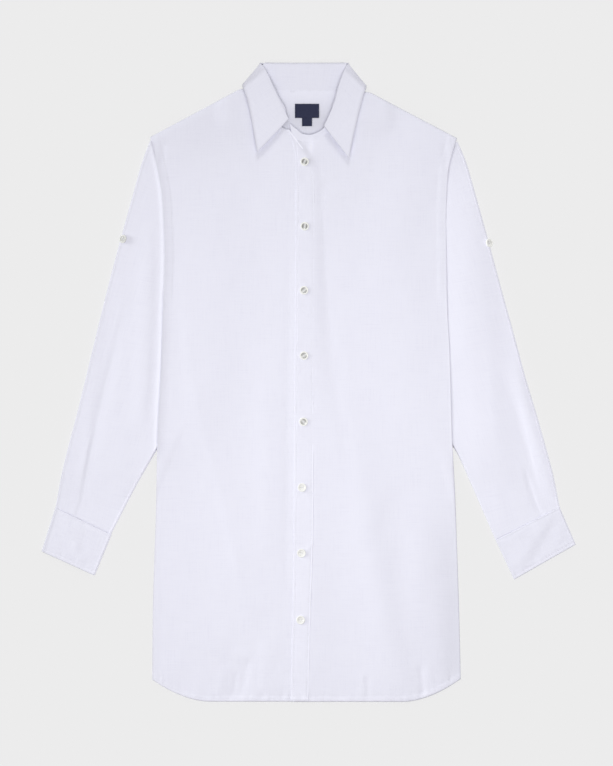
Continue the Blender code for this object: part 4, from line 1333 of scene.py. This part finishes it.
def make_stand():
    count = 260
    row = row_arrays(STAND, count)
    low = (neck_panel(row) - STIFF_CLOTH / 2 + 0.1)[:, None]
    t = np.concatenate([[-STAND_LAP, -STAND_LAP / 2], dense_ends(18, 0.3), [1.0, 1.0, 1.0]])[None, :]
    inside = np.clip(t, 0, 1)
    covered = within(np.linspace(0, 1, count), *STAND_COVERED)[:, None]
    behind = within(np.abs(row.fold_x), STAND_WRAP_HALF, 4)[:, None] * covered
    out = np.stack([row.fold_x - row.neck_x, row.fold_height - row.neck_height], axis=-1)
    length = np.linalg.norm(out, axis=1)[:, None]
    wrap = np.zeros_like(t)
    wrap[0, -3:] = STAND_WRAP
    reach = t + (STAND_REACH * covered * inside + STAND_WRAP_REACH * behind * wrap) / length
    x = row.neck_x[:, None] + out[:, :1] * reach
    height = row.neck_height[:, None] + out[:, 1:] * reach
    z = mix(low, row.fold_z[:, None] + STAND_RISE * covered, inside**STAND_LEAN)
    z = z - STAND_LAP_DROP * (t < 0) - behind * (STAND_WRAP_STEP * (wrap > 0) + STAND_WRAP_DROP * wrap**3)
    run = np.cumsum(np.hypot(np.gradient(row.fold_x), np.gradient(row.fold_height)))[:, None] + 0 * t
    depth = length * t
    z = z + gather(STAND_GATHERS, run, depth - STAND_SEAM) + rumple(STAND_RUMPLE, run, depth)
    grid = np.stack([x, height, z], axis=-1)
    cloth = add_cloth(
        "linen_stand", grid, (run, depth), LINEN, ["collar_stand"],
        wall=STIFF_CLOTH, offset=0, tone=-lap_light(x, height),
    )
    paths = [(grid, np.arange(*(count * p for p in part)), column) for part, column in STAND_STITCHES]
    return cloth, add_stitches("stitches_stand", paths, THREAD)


def eye_depth(x, y, radius):
    """The fish-eye hollow of a button, with its two holes, as a depth."""
    u, v = np.abs(x) / (EYE_SIZE[0] * radius), np.abs(y) / (EYE_SIZE[1] * radius)
    eye = EYE_DEPTH * smooth_step((1 - u**1.6 - v**1.3) / 0.35 + 0.2)
    for sign in (-1, 1):
        away = np.hypot(x - sign * HOLE_PLACE * radius, y)
        eye = np.maximum(eye, HOLE_DEPTH * smooth_step((HOLE_RADIUS * radius - away) / 0.3 + 0.5))
    return eye


def button_mesh(name, radius, tones):
    """Rings out from the centre over the top, round the rim and in below."""
    profile = curve(*BUTTON_PROFILE)
    share = np.concatenate([np.linspace(0.02, 0.72, 26), np.linspace(0.75, 1.0, 8)])
    angle = np.linspace(0, 2 * math.pi, 57)[:-1]
    rings = []
    for part in share:
        x, y = radius * part * np.cos(angle), radius * part * np.sin(angle)
        rings.append(np.stack([x, y, profile(part) - eye_depth(x, y, radius)], axis=-1))
    for part, z in BUTTON_UNDERSIDE:
        x, y = radius * part * np.cos(angle), radius * part * np.sin(angle)
        rings.append(np.stack([x, y, 0 * angle + z], axis=-1))
    points = np.array(rings)
    rows, columns = points.shape[:2]
    index = np.arange(rows * columns).reshape(rows, columns)
    after = np.roll(index, -1, axis=1)
    quads = np.stack([index[:-1], index[1:], after[1:], after[:-1]], axis=-1).reshape(-1, 4)
    mesh = bpy.data.meshes.new(name)
    caps = [tuple(int(i) for i in index[0]), tuple(int(i) for i in index[-1][::-1])]
    mesh.from_pydata((points.reshape(-1, 3) * MM).tolist(), [], quads.tolist() + caps)
    set_painted_shading(mesh, shell_shading(points, radius, *tones).ravel())
    return mesh


def shell_shading(points, radius, tone, rim):
    """Painted shade, darkest in the button's hollow eye, and painted light along its middle and on the rim.
    """
    x, y = points[..., 0] / radius, points[..., 1] / radius
    eye = smooth_step((0.74 - np.hypot(x, y)) / 0.12)
    bar = smooth_step((0.30 - np.abs(y)) / 0.14)
    return mix(rim, mix(tone, rim, 0.8 * bar), eye)


def thread_mesh(name, radius):
    """Three strands over the bridge between the holes, down into both of them."""
    sides, steps = 7, 15
    points, faces = [], []
    for strand, aside in enumerate((-0.22, 0.2, 0.0)):
        start = len(points)
        for i in range(steps):
            t = i / (steps - 1) * 2 - 1
            x = HOLE_PLACE * radius * t * 1.04
            z = 1.55 - 1.5 * max(abs(t) - 0.72, 0) ** 0.9 + (0.22 if strand == 2 else 0)
            for k in range(sides):
                a = 2 * math.pi * k / sides
                points.append((x, aside + 0.24 * math.cos(a), z + 0.24 * math.sin(a)))
        for i in range(steps - 1):
            for k in range(sides):
                a, b = start + i * sides, start + (i + 1) * sides
                after = (k + 1) % sides
                faces.append((a + k, a + after, b + after, b + k))
        faces.append(tuple(start + k for k in range(sides))[::-1])
        faces.append(tuple(start + (steps - 1) * sides + k for k in range(sides)))
    mesh = bpy.data.meshes.new(name)
    mesh.from_pydata([tuple(c * MM for c in p) for p in points], [], faces)
    return mesh


def add_button(name, node, place, tilt, turn, radius, tones):
    """A sewn button and, riding on it, the thread that holds it."""
    x, height, z = place
    spin = Matrix.Rotation(math.radians(turn), 4, "Z")
    where = Matrix.Translation(Vector(to_world([x, height, z]))) @ tilt @ spin
    button = add_piece(name, button_mesh(name, radius, tones), PEARL, [node])
    button.matrix_world = where
    thread = add_piece(name + "_thread", thread_mesh(name + "_thread", radius), THREAD)
    thread.matrix_world = where
    return button


def make_buttons():
    for i, spot in enumerate(BUTTON_SPOTS, 1):
        x, height = np.array(spot.x), np.array(spot.height)
        seat = float(placket_surface(x, height, 0.5)) + 0.05
        place = (spot.x, spot.height, seat)
        flat, tones = Matrix.Identity(4), (spot.tone, BUTTON_RIM_LIGHT)
        add_button(f"pearl_button_{i}", f"button_{i}", place, flat, spot.turn, BUTTON_RADIUS, tones)
    for name, spot in TAB_SPOTS.items():
        turn = Matrix.Rotation(math.radians(spot.turn), 4, "Z")
        tilt = turn @ Matrix.Rotation(TAB_BUTTON_TILT, 4, "Y")
        place = (spot.x, spot.height, spot.z)
        size, tones = TAB_BUTTON_RADIUS, TAB_BUTTON_SHADING[name]
        add_button("pearl_tab_" + name, "tab_button_" + name, place, tilt, 90, size, tones)


def make_label(name, node, centre, size):
    """A bare tape: a thin woven sheet with turned ends and a slight curl."""
    u, v = np.meshgrid(dense_ends(50, 0.3) - 0.5, 0.5 - dense_ends(34, 0.3))
    x, height = centre.x + u * size[0], centre.height + v * size[1]
    z = back_lift(x, height) + WALL + LABEL_LIFT
    ends = smooth_step((np.abs(u) * size[0] - size[0] / 2 + 2.2) / 0.7)
    z = z + 0.25 * ends + rumple(LABEL_RUMPLE, x, height) + 0.5 * np.maximum(-v, 0) ** 2
    grid = np.stack([x, height, z], axis=-1)
    tape = add_cloth(name, grid, (x, height), NAVY, [node], wall=0.5)
    top = 1.6 / size[1] * 33
    columns = np.linspace(2, 47, 60)
    return tape, add_stitches(name + "_stitches", [(grid, top, columns)], NAVY_THREAD)


def new_material(name, roughness):
    material = bpy.data.materials.new(name)
    material.use_nodes = True
    shader = material.node_tree.nodes["Principled BSDF"]
    shader.inputs["Roughness"].default_value = roughness
    return material, material.node_tree, shader


def add_node(tree, kind, settings=(), inputs=()):
    node = tree.nodes.new("ShaderNode" + kind)
    for key, value in dict(settings).items():
        setattr(node, key, value)
    for key, value in dict(inputs).items():
        if isinstance(value, bpy.types.NodeSocket):
            tree.links.new(value, node.inputs[key])
        else:
            node.inputs[key].default_value = value
    return node


def math_node(tree, operation, a, b=0.0, clamp=False):
    settings = {"operation": operation, "use_clamp": clamp}
    return add_node(tree, "Math", settings, {0: a, 1: b}).outputs[0]


def with_painted_shading(tree, colour):
    """A colour darkened by the mesh's painted shade and lightened by its painted light, on what faces up.
    """
    tone = add_node(tree, "Attribute", {"attribute_name": "tone"}).outputs["Fac"]
    facing = add_node(tree, "NewGeometry").outputs["Normal"]
    up = add_node(tree, "SeparateXYZ", inputs={0: facing}).outputs[2]
    shown = math_node(tree, "GREATER_THAN", up, 0.0)
    kept = math_node(tree, "SUBTRACT", 1.0, math_node(tree, "MULTIPLY", tone, shown))
    return add_node(tree, "VectorMath", {"operation": "SCALE"}, {0: colour, 3: kept}).outputs[0]


def streaks(tree, threads, across, along):
    """Thick places in the threads: noise drawn out along one direction, in millimetres."""
    scale = (1 / (across * MM), 1 / (along * MM), 1)
    place = add_node(tree, "Mapping", inputs={"Vector": threads, "Scale": scale}).outputs[0]
    return add_node(tree, "TexNoise", inputs={"Vector": place, "Scale": 1.0, "Detail": 2.0}).outputs[0]


def set_surface(tree, shader, colour, bump, **rest):
    """Colour and fine relief of a surface, and what else its shader needs."""
    height, strength, distance = bump
    relief = {"Height": height, "Strength": strength, "Distance": distance}
    tree.links.new(colour, shader.inputs["Base Color"])
    tree.links.new(add_node(tree, "Bump", inputs=relief).outputs[0], shader.inputs["Normal"])
    for key, value in rest.items():
        shader.inputs[key.replace("_", " ")].default_value = value


def woven(name, colour, other, pitch, roughness, slub=1.0, sheen=0.15):
    """Plain-weave cloth whose threads follow its own map."""
    material, tree, shader = new_material(name, roughness)
    threads = add_node(tree, "UVMap", {"uv_map": "threads"}).outputs[0]
    split = add_node(tree, "SeparateXYZ", inputs={0: threads})
    turn = 2 * math.pi / (pitch * MM)
    warp = math_node(tree, "SINE", math_node(tree, "MULTIPLY", split.outputs[0], turn))
    weft = math_node(tree, "SINE", math_node(tree, "MULTIPLY", split.outputs[1], turn))
    weave = math_node(tree, "MULTIPLY", warp, weft)
    upright = streaks(tree, threads, 1.3, 42.0)
    level = streaks(tree, threads, 36.0, 1.2)
    broad = streaks(tree, threads, 60.0, 90.0)
    slubs = math_node(tree, "ADD", upright, level)
    shade = math_node(tree, "MULTIPLY_ADD", math_node(tree, "SUBTRACT", slubs, 1.0), 1.5 * slub)
    tone = math_node(tree, "ADD", math_node(tree, "MULTIPLY", weave, 0.10), shade)
    tone = math_node(tree, "ADD", tone, math_node(tree, "MULTIPLY", broad, 0.35))
    tone = math_node(tree, "ADD", tone, 0.32, clamp=True)
    tint = add_node(
        tree, "Mix", {"data_type": "RGBA"}, {0: tone, 6: (*other, 1), 7: (*colour, 1)}
    )
    relief = math_node(tree, "ADD", math_node(tree, "MULTIPLY", weave, 0.35), slubs)
    set_surface(
        tree, shader, with_painted_shading(tree, tint.outputs[2]), (relief, 0.5, 0.00022),
        Sheen_Weight=sheen, Sheen_Roughness=0.5, Specular_IOR_Level=0.25,
    )
    return material


def thread_material(name, colour):
    """Twisted sewing thread."""
    material, tree, shader = new_material(name, 0.6)
    place = add_node(tree, "TexCoord").outputs["Object"]
    twist = add_node(
        tree, "TexWave", {"bands_direction": "DIAGONAL"},
        {"Vector": place, "Scale": 900.0, "Distortion": 1.0},
    )
    tint = add_node(
        tree, "Mix", {"data_type": "RGBA"},
        {0: twist.outputs[1], 6: (*(c * 0.86 for c in colour), 1), 7: (*colour, 1)},
    )
    set_surface(tree, shader, tint.outputs[2], (twist.outputs[1], 0.4, 0.0001), Sheen_Weight=0.1)
    return material


def pearl_material():
    """Pale shell with soft cloudy bands and a satin polish."""
    material, tree, shader = new_material("pearl_shell", 0.24)
    place = add_node(tree, "TexCoord").outputs["Object"]
    cloud = add_node(
        tree, "TexNoise", inputs={"Vector": place, "Scale": 160.0, "Detail": 3.0, "Distortion": 0.8}
    )
    band = add_node(
        tree, "TexWave", {"bands_direction": "DIAGONAL"},
        {"Vector": place, "Scale": 70.0, "Distortion": 7.0, "Detail": 3.0},
    )
    amount = math_node(tree, "MULTIPLY_ADD", cloud.outputs[0], 0.6)
    amount = math_node(tree, "ADD", amount, math_node(tree, "MULTIPLY", band.outputs[1], 0.4))
    ramp = add_node(tree, "ValToRGB", inputs={0: amount})
    stops = ramp.color_ramp.elements
    stops[0].position, stops[0].color = 0.2, (0.44, 0.46, 0.42, 1)
    stops[1].position, stops[1].color = 0.85, (0.80, 0.80, 0.77, 1)
    middle = stops.new(0.55)
    middle.color = (0.64, 0.645, 0.605, 1)
    set_surface(
        tree, shader, with_painted_shading(tree, ramp.outputs[0]), (cloud.outputs[0], 0.15, 0.0002),
        Coat_Weight=0.35, Coat_Roughness=0.15,
    )
    return material


def add_floor():
    bpy.ops.mesh.primitive_plane_add(size=30.0)
    floor = bpy.context.object
    floor.name = "floor"
    material, tree, shader = new_material("pale_floor", 0.9)
    shader.inputs["Base Color"].default_value = (FLOOR_TONE, FLOOR_TONE, FLOOR_TONE, 1)
    shader.inputs["Specular IOR Level"].default_value = 0.0
    floor.data.materials.append(material)
    return floor


def add_light(name, kind, place, target, size, power, colour, lit):
    """A soft light from a place towards a target, which reaches only what is named in lit."""
    data = bpy.data.lights.new(name, kind)
    data.energy = power
    data.color = colour
    if kind == "SUN":
        data.angle = math.radians(size)
    else:
        data.shape = "DISK"
        data.size = size
    light = bpy.data.objects.new(name, data)
    light.location = place
    light.rotation_euler = (Vector(target) - Vector(place)).to_track_quat("-Z", "Y").to_euler()
    bpy.context.scene.collection.objects.link(light)
    light.light_linking.receiver_collection = lit
    return light


def light_the_studio(floor):
    """Even light all round, a soft box above the shirt and a low key from the left."""
    world = bpy.data.worlds.new("studio")
    world.use_nodes = True
    backdrop = world.node_tree.nodes["Background"]
    backdrop.inputs["Color"].default_value = (1.0, 0.985, 1.0, 1)
    backdrop.inputs["Strength"].default_value = AMBIENT
    bpy.context.scene.world = world
    names = ("ground", "neck", "body", "leaves")
    ground, neck, body, leaves = (bpy.data.collections.new(name) for name in names)
    ground.objects.link(floor)
    for piece in LOOKS.objects:
        at_neck = any(word in piece.name for word in ("collar", "stand", "back", "label", "tag_"))
        (neck if at_neck else body).objects.link(piece)
        if "collar" in piece.name:
            leaves.objects.link(piece)
    add_light("overhead", "AREA", OVERHEAD_FROM, OVERHEAD_TO, 0.7, OVERHEAD, (1, 1, 1), LOOKS)
    key = add_light("key", "SUN", KEY_FROM, (0, 0, 0), 30, KEY, DAYLIGHT, body)
    key.light_linking.blocker_collection = body
    behind = add_light("back_light", "SUN", BACK_LIGHT_FROM, (0, 0, 0), 16, BACK_LIGHT, DAYLIGHT, body)
    behind.light_linking.blocker_collection = leaves
    add_light("collar_light", "SUN", (0, 0, 3), (0, 0, 0), 60, COLLAR_LIGHT, DAYLIGHT, neck)
    add_light("floor_light", "SUN", (0, 0, 3), (0, 0, 0), 2, FLOOR_LIGHT, (1, 1, 1), ground)
    bpy.context.scene.view_settings.view_transform = "Standard"


def add_camera():
    """Straight above the shirt, far off, so that lines stay as they are in the photograph."""
    data = bpy.data.cameras.new("camera")
    data.sensor_fit = "VERTICAL"
    data.sensor_height = SENSOR
    data.lens = SENSOR * CAMERA_HEIGHT / PHOTO_HEIGHT
    camera = bpy.data.objects.new("camera", data)
    camera.location = Vector(to_world([*PHOTO_CENTRE, CAMERA_HEIGHT]))
    bpy.context.scene.collection.objects.link(camera)
    bpy.context.scene.camera = camera


LOOKS = new_collection()
add_camera()
LINEN = woven("white_linen", (0.86, 0.857, 0.955), (0.795, 0.79, 0.90), 0.66, 0.88)
THREAD = thread_material("white_thread", (0.85, 0.85, 0.91))
NAVY = woven("navy_tape", (0.018, 0.022, 0.06), (0.010, 0.013, 0.04), 0.5, 0.7, slub=0.4, sheen=0.3)
NAVY_THREAD = thread_material("navy_thread", (0.03, 0.035, 0.09))
PEARL = pearl_material()

back = make_back()
fronts = {name: make_front(name) for name in ("right", "left")}
placket, placket_stitches = make_placket()
sleeves = {name: make_sleeve(name) for name in ("right", "left")}
cuffs = {name: make_cuff(name) for name in ("right", "left")}
fall, fall_stitches = make_collar_fall()
stand, stand_stitches = make_stand()
make_buttons()
label, label_stitches = make_label("navy_neck_tape", "neck_label", LABEL_CENTRE, LABEL_SIZE)
tag, tag_stitches = make_label("navy_size_tape", "size_tag", TAG_CENTRE, TAG_SIZE)

light_the_studio(add_floor())
